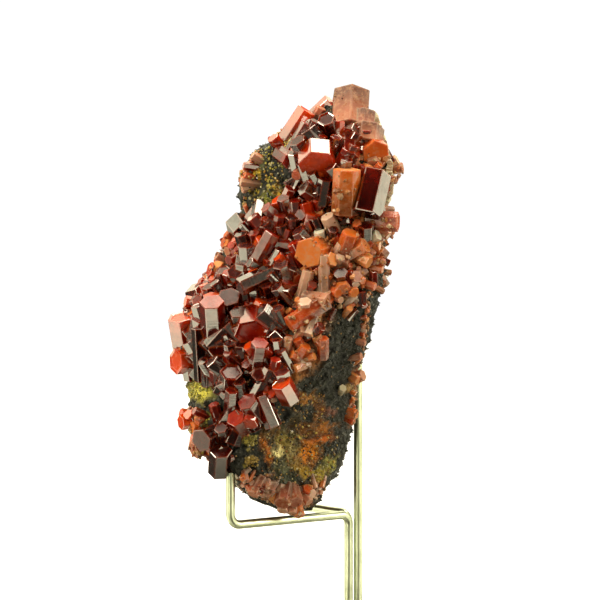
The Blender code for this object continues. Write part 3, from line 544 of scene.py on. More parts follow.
# The vanadinite crystals: short hexagonal prisms of lead vanadate, grown out of the matrix
# with their free ends outwards. Each is x, z, radius, length, heading, tilt, roll, rise, kind.
# The heading is the axis's direction as seen (0 right, 90 up), the tilt turns it towards the
# viewer, the roll turns it on its axis, and the rise lifts it off the matrix.
CROWN = (
    (15.7, 119.5, 4.7, 7.6, 266, 27, 30, 0.0, "pale"),
    (4.9, 121.2, 2.3, 6.5, 56, 12, 20, 0.0, "ember"),
    (8.6, 125.6, 2.0, 5.2, 42, 20, 0, 0.0, "bright"),
    (9.3, 119.0, 2.1, 3.5, 110, 55, 0, 1.0, "red"),
    (8.3, 121.8, 1.3, 3.0, 60, 20, 0, 0.0, "tan"),
    (6.8, 118.6, 1.1, 5.0, 62, 25, 0, 0.5, "red"),
    (4.9, 118.0, 1.4, 6.0, 58, 15, 10, 0.0, "red"),
    (8.6, 115.4, 1.3, 3.4, 68, 20, 0, 0.6, "red"),
    (11.7, 115.1, 1.5, 3.0, 75, 30, 15, 0.6, "red"),
    (10.6, 113.0, 1.2, 2.5, 200, 50, 0, 0.6, "red"),
    (4.7, 113.4, 1.3, 3.6, 60, 30, 20, 0.0, "red"),
    (2.6, 111.2, 0.9, 2.4, 60, 40, 0, 0.0, "red"),
    (7.3, 108.5, 4.5, 2.6, 272, 45, 48, 0.3, "bright"),
    (14.6, 110.4, 2.4, 2.8, 268, 25, 0, 0.6, "red"),
    (18.6, 113.4, 3.7, 2.4, 262, 22, 0, 0.0, "pale"),
    (17.6, 117.0, 3.2, 2.0, 265, 25, 30, 0.0, "tan"),
    (20.8, 111.0, 3.4, 3.6, 300, 60, 10, 0.3, "orange"),
    (17.8, 111.0, 1.7, 3.0, 260, 40, 0, 0.6, "red"),
    (20.0, 108.5, 2.0, 2.8, 280, 40, 0, 0.0, "tan"),
    (1.2, 109.5, 1.9, 3.0, 320, 52, 20, 0.3, "red"),
    (2.6, 106.3, 1.3, 2.5, 230, 50, 0, 0.4, "orange"),
    (-2.8, 115.0, 1.4, 2.2, 130, 30, 0, 0.0, "bright"),
    (-7.5, 111.0, 1.0, 2.2, 150, 20, 0, 0.0, "tan"),
    (-9.5, 108.6, 0.9, 2.8, 172, 15, 0, 0.0, "red"),
    (-9.3, 106.5, 1.0, 2.4, 160, 20, 0, 0.0, "orange"),
    (-10.1, 105.0, 1.1, 2.8, 175, 15, 20, 0.0, "tan"),
    (-9.8, 103.1, 0.9, 2.2, 200, 20, 0, 0.0, "tan"),
)
SHOULDER = (
    (14.0, 107.4, 3.1, 7.6, 88, 12, 0, 0.4, "orange"),
    (12.6, 99.3, 2.0, 2.5, 240, 50, 0, 0.6, "orange"),
    (14.9, 98.6, 1.4, 2.0, 280, 50, 0, 0.6, "orange"),
    (20.6, 106.8, 3.8, 8.0, 76, -14, -8, 0.0, "red"),
    (26.0, 110.0, 1.4, 3.4, 28, 15, 0, 0.0, "tan"),
    (26.9, 108.2, 1.3, 4.0, 8, 15, 20, 0.0, "tan"),
    (25.5, 105.2, 1.0, 2.6, 340, 20, 0, 0.0, "tan"),
    (18.3, 100.6, 1.0, 1.6, 60, 60, 0, 0.8, "cream"),
    (25.6, 95.8, 2.3, 5.2, 357, 15, 10, 0.0, "orange"),
    (23.6, 92.6, 1.1, 2.6, 320, 20, 0, 0.0, "tan"),
    (18.5, 95.0, 1.8, 3.0, 90, 35, 10, 0.0, "dark"),
    (4.2, 103.5, 1.9, 3.2, 150, 30, 10, 0.0, "dark"),
    (9.3, 105.4, 1.8, 3.4, 80, 22, 8, 0.6, "red"),
    (6.1, 105.2, 1.0, 2.0, 90, 40, 0, 0.6, "red"),
    (7.4, 100.6, 1.1, 3.2, 100, 30, 0, 0.0, "red"),
    (9.2, 99.9, 1.0, 2.2, 45, 30, 0, 0.0, "red"),
    (9.6, 97.0, 1.7, 2.6, 120, 30, 10, 0.3, "tan"),
    (7.8, 93.6, 1.3, 2.2, 100, 25, 20, 0.3, "cream"),
    (11.0, 94.0, 1.3, 2.4, 80, 50, 0, 0.3, "dark"),
    (15.0, 93.2, 2.1, 3.4, 70, 28, 10, 0.3, "orange"),
    (16.0, 91.0, 1.4, 2.4, 300, 50, 0, 0.4, "orange"),
    (13.1, 90.4, 1.4, 2.4, 60, 25, 0, 0.0, "tan"),
    (18.3, 90.5, 1.9, 3.0, 30, 25, 15, 0.0, "orange"),
    (19.2, 86.5, 1.5, 2.8, 330, 25, 0, 0.0, "orange"),
    (21.2, 92.8, 1.3, 2.4, 30, 30, 0, 0.0, "cream"),
    (22.6, 87.0, 1.1, 2.4, 10, 20, 0, 0.0, "orange"),
    (22.2, 84.9, 0.9, 2.0, 350, 20, 0, 0.0, "orange"),
    (20.5, 81.0, 1.0, 2.0, 340, 20, 0, 0.0, "orange"),
)
UPPER_FACE = (
    (-0.4, 101.2, 1.7, 3.8, 110, 35, 10, 0.3, "red"),
    (2.2, 100.6, 1.5, 3.6, 95, 25, 0, 0.3, "red"),
    (-3.3, 99.5, 1.3, 3.0, 100, 30, 0, 0.0, "dark"),
    (-6.3, 96.1, 1.8, 2.8, 262, 40, 0, 0.3, "red"),
    (-1.0, 97.2, 1.5, 3.2, 80, 30, 10, 0.3, "red"),
    (1.7, 96.8, 1.6, 3.2, 90, 40, 0, 0.3, "dark"),
    (3.5, 97.3, 1.5, 2.6, 140, 60, 0, 0.3, "red"),
    (4.6, 94.9, 1.2, 2.6, 60, 30, 0, 0.3, "tan"),
    (-10.2, 96.3, 1.1, 2.4, 130, 20, 0, 0.0, "orange"),
    (-9.0, 92.9, 3.2, 2.4, 305, 50, 10, 0.6, "dark"),
    (-8.7, 90.4, 2.3, 4.2, 95, 20, 30, 0.0, "dark"),
    (-2.9, 93.0, 2.1, 6.6, 60, 12, 35, 1.2, "red"),
    (1.1, 90.5, 1.4, 3.2, 352, 12, 15, 1.0, "red"),
    (0.7, 94.0, 0.9, 2.6, 72, 15, 0, 1.0, "red"),
    (0.8, 88.3, 1.0, 2.8, 112, 15, 10, 1.0, "red"),
    (-11.5, 88.6, 1.2, 2.2, 220, 40, 0, 0.6, "red"),
    (-12.8, 87.0, 1.3, 2.5, 200, 50, 0, 0.0, "red"),
    (-10.9, 87.0, 1.5, 2.5, 250, 50, 0, 0.3, "red"),
    (-10.1, 81.0, 2.2, 6.4, 205, 20, 0, 1.4, "dark"),
    (-8.0, 86.5, 1.3, 3.4, 150, 30, 0, 0.8, "dark"),
    (-11.3, 84.4, 2.0, 3.6, 120, 55, 20, 0.6, "dark"),
    (-14.0, 84.8, 1.8, 3.6, 100, 40, 0, 0.0, "red"),
    (-12.6, 78.8, 2.7, 3.8, 100, 50, 10, 1.0, "dark"),
    (-1.0, 86.0, 2.0, 3.8, 110, 35, 12, 0.4, "dark"),
    (-1.0, 89.1, 1.5, 4.0, 58, 15, 20, 0.8, "red"),
    (-1.9, 81.0, 1.6, 3.4, 130, 28, 12, 0.4, "red"),
    (0.7, 82.0, 1.5, 3.2, 70, 26, 15, 0.4, "red"),
    (-0.3, 79.0, 1.9, 3.2, 260, 40, 0, 0.4, "dark"),
    (2.1, 80.2, 1.5, 2.8, 330, 45, 0, 0.2, "red"),
    (-13.4, 93.2, 1.2, 2.4, 140, 20, 0, 0.0, "orange"),
    (-14.2, 91.0, 1.3, 2.4, 170, 25, 0, 0.0, "orange"),
    (-13.3, 89.0, 1.4, 2.5, 200, 30, 0, 0.0, "tan"),
    (-17.2, 85.0, 1.8, 2.8, 165, 25, 0, 0.0, "bright"),
    (-15.7, 88.0, 0.9, 2.0, 150, 20, 0, 0.0, "tan"),
    (-18.8, 80.0, 2.9, 3.2, 15, 60, 0, 0.4, "red"),
    (-22.7, 77.7, 1.4, 3.0, 170, 20, 0, 0.0, "bright"),
)
LOWER_FACE = (
    (-23.6, 74.4, 3.3, 6.8, 98, 24, 20, 0.0, "bright"),
    (-22.3, 69.8, 2.3, 7.0, 97, 8, 8, 1.2, "red"),
    (-19.3, 71.4, 2.2, 9.0, 93, 8, 2, 1.0, "dark"),
    (-25.2, 64.0, 3.0, 4.4, 185, 35, 0, 0.0, "ember"),
    (-16.5, 77.4, 2.9, 8.6, 92, 38, 0, 1.4, "red"),
    (-19.8, 76.8, 1.8, 4.6, 105, 15, 20, 0.8, "red"),
    (-12.0, 73.5, 1.8, 4.2, 48, 12, 20, 2.0, "red"),
    (-7.6, 70.6, 4.0, 3.6, 265, 55, 20, 0.8, "red"),
    (-5.7, 68.2, 2.0, 3.6, 80, 38, 12, 2.0, "red"),
    (-4.3, 65.6, 1.7, 3.0, 280, 45, 0, 0.8, "red"),
    (-15.9, 61.9, 1.3, 2.6, 90, 35, 10, 0.3, "red"),
    (-15.2, 66.8, 2.3, 3.8, 95, 45, 0, 0.4, "dark"),
    (-12.2, 61.6, 2.5, 3.8, 85, 48, 0, 0.6, "red"),
    (-11.5, 64.4, 1.7, 2.6, 260, 45, 0, 0.6, "red"),
    (-8.8, 63.5, 1.2, 2.2, 130, 60, 0, 0.8, "red"),
    (-3.7, 62.2, 1.4, 5.0, 62, 12, 25, 1.2, "red"),
    (-5.8, 61.2, 1.8, 2.8, 100, 60, 0, 0.6, "dark"),
    (-0.8, 59.2, 2.4, 3.4, 118, 38, 10, 0.3, "bright"),
    (-3.6, 56.8, 1.4, 2.2, 80, 50, 0, 0.6, "bright"),
    (-8.5, 54.9, 2.4, 3.4, 128, 42, 20, 0.8, "red"),
    (-5.3, 56.1, 2.0, 4.0, 112, 2, 4, 1.4, "red"),
    (-8.0, 49.9, 1.9, 3.4, 255, 40, 0, 0.4, "bright"),
    (-12.0, 57.4, 1.6, 3.4, 85, 30, 10, 0.8, "red"),
    (-11.2, 51.2, 2.1, 3.0, 120, 55, 0, 0.6, "red"),
    (-16.2, 54.2, 1.2, 3.0, 105, 25, 0, 0.4, "red"),
    (-18.8, 46.2, 2.8, 3.4, 205, 54, 20, 0.8, "red"),
    (-24.0, 50.0, 1.8, 3.4, 190, 30, 0, 0.0, "ember"),
    (-23.9, 52.2, 1.2, 2.8, 165, 25, 0, 0.0, "bright"),
    (-22.1, 52.0, 1.4, 2.6, 140, 40, 0, 0.4, "bright"),
    (-22.8, 45.4, 1.4, 3.2, 170, 20, 0, 0.0, "ember"),
    (-22.3, 42.9, 2.1, 3.6, 205, 30, 0, 0.0, "pale"),
    (-20.2, 42.6, 1.9, 3.4, 275, 40, 0, 0.6, "bright"),
    (-14.6, 43.8, 2.6, 3.9, 84, 40, 12, 1.0, "red"),
    (-16.4, 38.5, 1.1, 2.2, 188, 15, 0, 0.6, "tan"),
    (-17.3, 41.4, 1.4, 2.8, 290, 30, 0, 1.0, "orange"),
    (-14.5, 48.8, 1.6, 3.0, 100, 45, 0, 0.3, "dark"),
    (-21.0, 48.7, 1.0, 2.4, 60, 50, 0, 0.8, "red"),
)
RIDGE = (
    (5.4, 88.6, 3.7, 3.4, 200, 60, 25, 0.3, "orange"),
    (8.8, 88.0, 1.3, 5.4, 92, 12, 0, 1.0, "tan"),
    (10.9, 87.3, 1.7, 2.6, 20, 45, 0, 0.6, "orange"),
    (12.6, 87.7, 1.1, 2.0, 60, 50, 0, 0.6, "tan"),
    (14.6, 84.6, 1.0, 3.0, 93, 12, 0, 0.6, "red"),
    (16.4, 83.3, 1.5, 2.2, 30, 55, 0, 0.0, "tan"),
    (12.6, 84.2, 1.8, 2.6, 100, 50, 0, 0.0, "dark"),
    (13.3, 80.5, 1.7, 2.6, 280, 50, 0, 0.0, "orange"),
    (15.8, 79.6, 1.3, 2.2, 320, 50, 0, 0.0, "orange"),
    (5.3, 84.4, 1.4, 5.0, 75, 12, 0, 0.4, "tan"),
    (6.3, 81.5, 1.2, 2.4, 60, 50, 0, 0.4, "red"),
    (1.2, 72.6, 2.0, 7.4, 213, 15, 10, 0.8, "orange"),
    (9.5, 77.4, 2.0, 3.4, 350, 25, 10, 0.3, "tan"),
    (4.4, 77.6, 1.6, 3.0, 100, 40, 0, 0.6, "tan"),
    (8.2, 72.0, 1.3, 2.6, 40, 30, 0, 0.3, "red"),
    (5.2, 70.0, 1.3, 2.4, 250, 25, 0, 0.3, "tan"),
    (8.7, 69.2, 1.3, 2.8, 90, 30, 0, 0.3, "orange"),
    (9.2, 67.2, 1.1, 2.0, 320, 25, 0, 0.0, "orange"),
    (2.8, 69.0, 1.2, 2.4, 120, 25, 0, 0.3, "orange"),
    (4.7, 67.5, 1.4, 2.4, 60, 30, 0, 0.3, "orange"),
    (0.8, 69.2, 1.1, 3.0, 80, 25, 0, 0.6, "tan"),
    (1.5, 65.6, 1.1, 2.2, 150, 30, 0, 0.3, "orange"),
    (6.6, 65.2, 1.0, 2.0, 20, 30, 0, 0.0, "orange"),
    (2.4, 62.4, 1.0, 1.8, 200, 30, 0, 0.0, "orange"),
    (4.3, 62.8, 0.9, 1.6, 320, 30, 0, 0.0, "tan"),
    (17.8, 60.9, 1.4, 2.6, 20, 30, 0, 0.0, "tan"),
    (16.7, 59.6, 1.2, 2.2, 330, 35, 0, 0.0, "orange"),
    (17.4, 65.2, 0.9, 2.0, 10, 25, 0, 0.0, "tan"),
    (18.3, 68.2, 0.8, 1.8, 350, 20, 0, 0.0, "tan"),
    (16.2, 51.9, 1.3, 2.4, 350, 30, 0, 0.0, "orange"),
    (15.6, 50.1, 0.9, 2.0, 330, 30, 0, 0.0, "orange"),
    (13.2, 58.0, 0.9, 1.6, 60, 60, 0, 0.0, "cream"),
    (-7.4, 33.8, 1.4, 2.8, 240, 30, 0, 0.0, "tan"),
    (-5.6, 34.4, 1.0, 2.2, 280, 40, 0, 0.0, "red"),
    (-0.6, 31.8, 2.0, 3.0, 260, 45, 0, 0.3, "tan"),
    (-2.6, 32.4, 1.3, 2.4, 230, 40, 0, 0.0, "orange"),
    (2.5, 32.0, 1.7, 2.8, 290, 45, 0, 0.6, "tan"),
    (-0.5, 29.9, 1.4, 3.0, 262, 30, 0, 0.9, "tan"),
    (1.7, 29.4, 1.2, 3.2, 268, 30, 10, 1.2, "tan"),
    (3.4, 28.9, 1.3, 3.6, 286, 30, 0, 1.2, "orange"),
    (5.2, 35.1, 1.2, 2.2, 60, 45, 0, 0.0, "orange"),
    (6.4, 33.8, 1.2, 2.2, 340, 40, 0, 0.0, "tan"),
    (5.6, 32.0, 1.1, 2.6, 310, 30, 0, 0.0, "tan"),
)
EMBED = 2.0
PROUD = 0.75
TONES = {
    "dark": (0.0, 0.15), "red": (0.08, 0.6), "bright": (0.7, 1.0),
    "orange": (0.1, 1.0), "tan": (0.1, 1.0), "pale": (0.3, 0.4), "cream": (0.2, 1.0), "ember": (1.1, 1.2),
}
SAME_MINERAL = {"dark": "red", "bright": "red", "ember": "red", "pale": "tan"}
SATIN_CAPS = 0.8
groups = {kind: bmesh.new() for kind in ("red", "orange", "tan", "cream")}
for group in groups.values():
    group.verts.layers.float.new("tone")
    group.verts.layers.float.new("along")
    group.verts.layers.float.new("share")
    group.faces.layers.float.new("cap")
one_crystal = bpy.data.meshes.new("one_crystal")


def seen_point(x, z, ground):
    """Where the eye sees the rock at x and z of the plane y = 0, or the nearest point."""
    sight = (Vector((x, 0.0, z)) - EYE).normalized()
    hit = ground.ray_cast(EYE, sight)[0]
    if hit:
        return hit
    nearest = None
    closest = math.inf
    for depth in range(-16, 17, 2):
        on_sight = EYE + sight * ((depth - EYE.y) / sight.y)
        found, _, _, distance = ground.find_nearest(on_sight)
        if distance < closest:
            nearest, closest = found, distance
    return nearest


def crystal_frame(heading, tilt, roll):
    """The axis of a crystal, and its two cross directions turned by the roll."""
    h, t = math.radians(heading), math.radians(tilt)
    axis = Vector((math.cos(t) * math.cos(h), -math.sin(t), math.cos(t) * math.sin(h)))
    across = Vector((-math.sin(h), 0.0, math.cos(h)))
    facing = axis.cross(across)
    turn = math.radians(roll - 30.0)
    u = across * math.cos(turn) + facing * math.sin(turn)
    return axis, u, axis.cross(u)


def grow(kind, root, end, u, v, radius, chance, hollow=0.0, uneven=0.06):
    """A hexagonal prism with sharp but worn edges, and a hollow end face where asked."""
    axis = (end - root).normalized()
    length = (end - root).length
    bm = bmesh.new()
    tone = bm.verts.layers.float.new("tone")
    along = bm.verts.layers.float.new("along")
    share = bm.verts.layers.float.new("share")
    satin = bm.faces.layers.float.new("cap")
    bmesh.ops.create_cone(
        bm, cap_ends=True, cap_tris=False, segments=6, radius1=radius, radius2=radius * chance.uniform(0.94, 1.0),
        depth=length,
    )
    spread = [1.0 + chance.uniform(-uneven, uneven) for _ in range(6)]
    for vert in bm.verts:
        corner = round(math.atan2(vert.co.y, vert.co.x) / (math.pi / 3.0)) % 6
        vert.co.x *= spread[corner]
        vert.co.y *= spread[corner]
    cap = max(bm.faces, key=lambda face: face.calc_center_median().z)
    if hollow:
        bmesh.ops.inset_region(bm, faces=[cap], thickness=0.24 * radius, depth=-hollow * radius)
    rim = [edge for edge in bm.edges if edge.calc_face_angle(0.0) > 0.3]
    bmesh.ops.bevel(
        bm, geom=rim, offset=0.03 * radius + 0.04, segments=1, profile=0.5, affect="EDGES", material=-1
    )
    cap_finish = 1.0 if chance.random() < SATIN_CAPS else 0.2
    for face in bm.faces:
        face[satin] = cap_finish if face.normal.z > 0.9 else 0.0
    shade = chance.uniform(*TONES[kind])
    place = Matrix.Translation((root + end) / 2.0) @ Matrix((u, v, axis)).transposed().to_4x4()
    for vert in bm.verts:
        vert[tone] = shade
        vert[along] = vert.co.z + 100.0 * shade
        # share runs from 0 at the root to 1 at the free end, and carries the painted root shade.
        vert[share] = vert.co.z / length + 0.5
        vert.co = place @ vert.co
    bm.to_mesh(one_crystal)
    bm.free()
    groups[SAME_MINERAL.get(kind, kind)].from_mesh(one_crystal)


def rooted(row, ground):
    """The root, end and cross directions of a crystal of the layout."""
    x, z, radius, length, heading, tilt, roll, rise, _ = row
    axis, u, v = crystal_frame(heading, tilt, roll)
    seen = seen_point(x - length * axis.x, z - length * axis.z, ground)
    lift = rise + PROUD * radius * math.cos(math.radians(tilt))
    root = seen + (EYE - seen).normalized() * lift
    return root - axis * (EMBED + rise), root + axis * length, u, v


chance = random.Random(2207)
ends = []
for row in CROWN + SHOULDER + UPPER_FACE + LOWER_FACE + RIDGE:
    root, end, u, v = rooted(row, surface)
    hollow = 0.12 if row[2] > 1.4 and chance.random() < 0.3 else 0.0
    grow(row[8], root, end, u, v, row[2], chance, hollow)
    ends.append(end)

# The smaller crystals between the large ones, at seeded places of the coated face, the ridge
# and the rims. Most of those on the face point upwards, as the large ones do.
COAT = (
    (-25.5, 66.0), (-26.0, 74.0), (-22.5, 78.5), (-18.0, 85.5), (-14.0, 92.0), (-10.0, 98.2),
    (-4.0, 99.2), (0.2, 102.6), (1.0, 111.0), (4.6, 118.0), (12.0, 120.0), (20.0, 117.0),
    (22.0, 112.0), (12.6, 108.0), (10.3, 100.8), (3.4, 92.8), (1.1, 80.3), (0.0, 71.2), (-0.5, 62.0),
    (-5.3, 55.2), (-8.6, 48.8), (-12.4, 53.0), (-14.8, 60.0), (-19.6, 64.5),
)
BAND = (
    (12.6, 112.3), (22.0, 112.0), (27.9, 107.6), (25.8, 101.6), (24.0, 95.0), (25.5, 92.0),
    (23.5, 87.0), (21.0, 80.0), (19.9, 75.0), (12.0, 76.0), (8.0, 68.5), (3.0, 62.0), (-3.0, 56.0),
    (-9.0, 46.5), (-5.3, 55.2), (-0.5, 62.0), (0.0, 71.2), (1.1, 80.3), (3.4, 92.8), (10.3, 100.8),
)
FOOT_RIM = (
    (-11.4, 38.0), (-10.0, 34.0), (-5.3, 32.3), (-0.5, 30.0), (3.4, 27.8), (7.5, 32.3), (10.3, 35.0),
    (7.0, 36.0), (4.0, 33.5), (0.0, 34.0), (-5.0, 36.5),
)
RIGHT_RIM = (
    (19.9, 76.0), (17.8, 62.0), (16.7, 50.0), (15.0, 48.5), (15.4, 55.0), (16.4, 62.0), (18.6, 76.0),
)
LOWER_LEFT = (
    (-24.5, 53.5), (-25.0, 49.5), (-21.2, 46.0), (-24.0, 42.6), (-18.0, 40.0), (-14.5, 39.0),
    (-14.5, 44.0), (-18.0, 47.0), (-20.5, 53.0),
)
CROWN_LEFT = (
    (-3.4, 116.8), (-8.4, 111.1), (-10.3, 108.8), (-11.0, 105.4), (-9.1, 103.1), (-10.3, 98.6),
    (-8.8, 99.0), (-8.8, 108.6), (-4.6, 113.6), (1.0, 116.6), (4.0, 119.0),
)
REDS = ("red", "red", "red", "dark", "dark", "dark", "bright")
FILL = (
    (COAT, 175, (1.2, 2.3), (2.2, 5.0), (50, 140), (5, 36), REDS, 1.35),
    (COAT, 90, (0.5, 1.1), (0.8, 2.4), (0, 360), (5, 45), REDS, 1.7),
    (BAND, 190, (0.5, 1.3), (0.8, 2.8), (0, 360), (5, 60), ("orange", "tan", "orange", "red"), 1.2),
    (FOOT_RIM, 60, (0.35, 0.9), (0.6, 1.8), (180, 360), (5, 60), ("tan", "orange", "tan"), 1.0),
    (RIGHT_RIM, 26, (0.3, 0.7), (0.6, 1.2), (-60, 60), (5, 50), ("orange", "tan"), 1.2),
    (LOWER_LEFT, 30, (0.8, 1.4), (0.8, 2.0), (60, 240), (5, 50), ("red", "orange", "red", "tan"), 1.2),
    (CROWN_LEFT, 34, (0.4, 0.9), (0.8, 2.0), (90, 200), (5, 50), ("orange", "tan", "red"), 1.2),
)
for region, count, radii, lengths, headings, tilts, kinds, spacing in FILL:
    tries = 0
    while count and tries < 9000:
        tries += 1
        x, z = chance.uniform(-28.0, 28.0), chance.uniform(27.0, 122.0)
        if not inside(region, x, z):
            continue
        radius = chance.uniform(*radii)
        row = (x, z, radius, chance.uniform(*lengths), chance.uniform(*headings),
               chance.uniform(*tilts), chance.uniform(0.0, 60.0), 0.0, chance.choice(kinds))
        root, end, u, v = rooted(row, surface)
        if any((end - other).length < spacing * radius for other in ends):
            continue
        if rod_distance(end) < radius + 1.4 or not within_outline(end, radius):
            continue
        grow(row[8], root, end, u, v, radius, chance, uneven=0.14)
        ends.append(end)
        count -= 1

# The same on the sides that the camera does not see: crystals along the left flank and
# round the crown, and mostly bare rock behind.
MATRIX_MIDDLE = Vector((1.0, 0.0, 78.0))
MATRIX_REACH = Vector((27.0, 22.0, 48.0))


def on_flank(spot, normal):
    bare_strip = spot.z < 65.0 and spot.y < 2.0
    return normal.x < -0.35 and normal.y > -0.5 and 42.0 < spot.z < 114.0 and spot.y < 9.0 and not bare_strip


def on_back(spot, normal):
    near_rim = spot.z > 104.0 or normal.x > 0.6
    return normal.y > -0.1 and near_rim and 78.0 < spot.z < 121.0


HIDDEN_FILL = (
    (on_flank, 260, (0.8, 2.2), (1.0, 3.6), ("red", "red", "dark", "orange"), 1.1),
    (on_back, 130, (0.6, 1.6), (0.8, 2.4), ("red", "orange", "tan", "tan"), 1.4),
)
for wanted, count, radii, lengths, kinds, spacing in HIDDEN_FILL:
    tries = 0
    while count and tries < 30000:
        tries += 1
        corner = Vector(chance.uniform(-1.0, 1.0) for _ in range(3))
        guess = Vector(m + c * r for m, c, r in zip(MATRIX_MIDDLE, corner, MATRIX_REACH))
        spot, normal, _, _ = surface.find_nearest(guess)
        if not wanted(spot, normal):
            continue
        radius = chance.uniform(*radii)
        lean = Vector((chance.uniform(-0.6, 0.6), chance.uniform(-0.6, 0.6), chance.uniform(-0.3, 1.1)))
        axis = (normal + lean).normalized()
        end = spot + axis * chance.uniform(*lengths)
        if any((end - other).length < spacing * radius for other in ends):
            continue
        if rod_distance(end) < radius + 1.4 or not within_outline(end, radius):
            continue
        u = axis.orthogonal().normalized()
        u.rotate(Matrix.Rotation(chance.uniform(0.0, math.pi / 3.0), 3, axis))
        grow(chance.choice(kinds), spot - axis * EMBED, end, u, axis.cross(u), radius, chance, uneven=0.14)
        ends.append(end)
        count -= 1


# Vanadinite: translucent and resinous, so light goes a little way in and the thin edges glow,
# while each flat face mirrors the soft boxes. The glow along the edges is also painted, as a
# paler colour, and each crystal has painted shade, darker towards its root. Growth lines run
# round the prism.
def crystal_material(name, colours, painted_edge_glow, roughness, glow, crust):
    """Vanadinite between these colours, from its darkest to its brightest crystal."""
    material = bpy.data.materials.new(name)
    material.use_nodes = True
    tree = material.node_tree
    shader = tree.nodes["Principled BSDF"]
    place = add_node(tree, "ShaderNodeTexCoord").outputs["Object"]
    tone = add_node(tree, "ShaderNodeAttribute", attribute_name="tone").outputs["Fac"]
    cloud = add_node(
        tree, "ShaderNodeTexNoise", {"Vector": place, "Scale": 1.0 / (2.2 * MM), "Detail": 4.0, "Roughness": 0.6}
    )
    mixed = add_node(
        tree, "ShaderNodeMath", {0: cloud.outputs["Fac"], 1: 0.55, 2: tone}, operation="MULTIPLY_ADD"
    )
    cap = add_node(tree, "ShaderNodeAttribute", attribute_name="cap").outputs["Fac"]
    capped = add_node(
        tree, "ShaderNodeMath", {0: cap, 1: 0.12, 2: mixed.outputs[0]}, operation="MULTIPLY_ADD"
    )
    centred = add_node(tree, "ShaderNodeMath", {0: capped.outputs[0], 1: 0.27}, operation="SUBTRACT", use_clamp=True)
    ramp = add_node(tree, "ShaderNodeValToRGB", {"Fac": centred.outputs[0]})
    while len(ramp.color_ramp.elements) < len(colours):
        ramp.color_ramp.elements.new(1.0)
    for index, colour in enumerate(colours):
        ramp.color_ramp.elements[index].position = index / (len(colours) - 1)
        ramp.color_ramp.elements[index].color = linear(colour)
    # Painted shade: each crystal is darkened towards its root, down to 35% of its colour where it meets the rock.
    share = add_node(tree, "ShaderNodeAttribute", attribute_name="share").outputs["Fac"]
    painted_root_shade = add_node(
        tree, "ShaderNodeMapRange", {"Value": share, "From Min": 0.2, "From Max": 0.8, "To Min": 0.35, "To Max": 1.0}
    )
    with_root_shade = add_node(
        tree, "ShaderNodeMix", {"Factor": 1.0, "A": ramp.outputs["Color"], "B": painted_root_shade.outputs["Result"]},
        data_type="RGBA", blend_type="MULTIPLY",
    )
    # Painted glow along the edges: near each edge, up to 35% of the edge colour is mixed in, standing in for light
    # shining through the thin rim.
    rounded = add_node(tree, "ShaderNodeBevel", {"Radius": 0.7 * MM}, samples=4)
    flat = add_node(tree, "ShaderNodeNewGeometry").outputs["True Normal"]
    straight = add_node(
        tree, "ShaderNodeVectorMath", {0: rounded.outputs[0], 1: flat}, operation="DOT_PRODUCT"
    ).outputs["Value"]
    thin = add_node(
        tree, "ShaderNodeMapRange", {"Value": straight, "From Min": 1.0, "From Max": 0.86, "To Min": 0.0, "To Max": 0.35}
    ).outputs["Result"]
    with_edge_glow = add_node(
        tree, "ShaderNodeMix", {"Factor": thin, "A": with_root_shade.outputs["Result"], "B": linear(painted_edge_glow)},
        data_type="RGBA",
    )
    colour = with_edge_glow.outputs["Result"]
    if crust:
        flakes = add_node(
            tree, "ShaderNodeTexNoise", {"Vector": place, "Scale": 1.0 / (1.1 * MM), "Detail": 5.0, "Roughness": 0.7}
        )
        coated = add_node(
            tree, "ShaderNodeMapRange",
            {"Value": flakes.outputs["Fac"], "From Min": 0.5, "From Max": 0.62, "To Min": 0.0, "To Max": crust},
        )
        crusted = add_node(
            tree, "ShaderNodeMix",
            {"Factor": coated.outputs["Result"], "A": colour, "B": linear("#CC9A78")}, data_type="RGBA",
        )
        colour = crusted.outputs["Result"]
    tree.links.new(colour, shader.inputs["Base Color"])
    smudge = add_node(
        tree, "ShaderNodeTexNoise", {"Vector": place, "Scale": 1.0 / (1.6 * MM), "Detail": 3.0}
    )
    dull = add_node(
        tree, "ShaderNodeMapRange",
        {"Value": smudge.outputs["Fac"], "From Min": 0.35, "From Max": 0.7, "To Min": roughness[0], "To Max": roughness[1]},
    )
    etched = add_node(
        tree, "ShaderNodeMath", {0: cap, 1: 0.18, 2: dull.outputs["Result"]}, operation="MULTIPLY_ADD"
    )
    tree.links.new(etched.outputs[0], shader.inputs["Roughness"])
    mirror = add_node(
        tree, "ShaderNodeMapRange", {"Value": cap, "From Min": 0.0, "From Max": 1.0, "To Min": 0.5, "To Max": 0.14}
    )
    tree.links.new(mirror.outputs["Result"], shader.inputs["Specular IOR Level"])
    along = add_node(tree, "ShaderNodeAttribute", attribute_name="along").outputs["Fac"]
    lines = add_node(tree, "ShaderNodeCombineXYZ", {"Z": along})
    growth = add_node(tree, "ShaderNodeTexNoise", {"Vector": lines.outputs[0], "Scale": 2.6, "Detail": 3.0})
    relief = add_node(
        tree, "ShaderNodeMath", {0: growth.outputs["Fac"], 1: smudge.outputs["Fac"]}, operation="ADD"
    )
    bump = add_node(
        tree, "ShaderNodeBump", {"Strength": 0.12 + 0.4 * crust, "Distance": 0.12 * MM, "Height": relief.outputs[0]}
    )
    tree.links.new(bump.outputs["Normal"], shader.inputs["Normal"])
    shader.inputs["IOR"].default_value = 2.35 if crust < 0.1 else 1.62
    shader.inputs["Subsurface Weight"].default_value = glow
    shader.inputs["Subsurface Radius"].default_value = (1.0, 0.14, 0.05)
    shader.inputs["Subsurface Scale"].default_value = 2.2 * MM
    return material


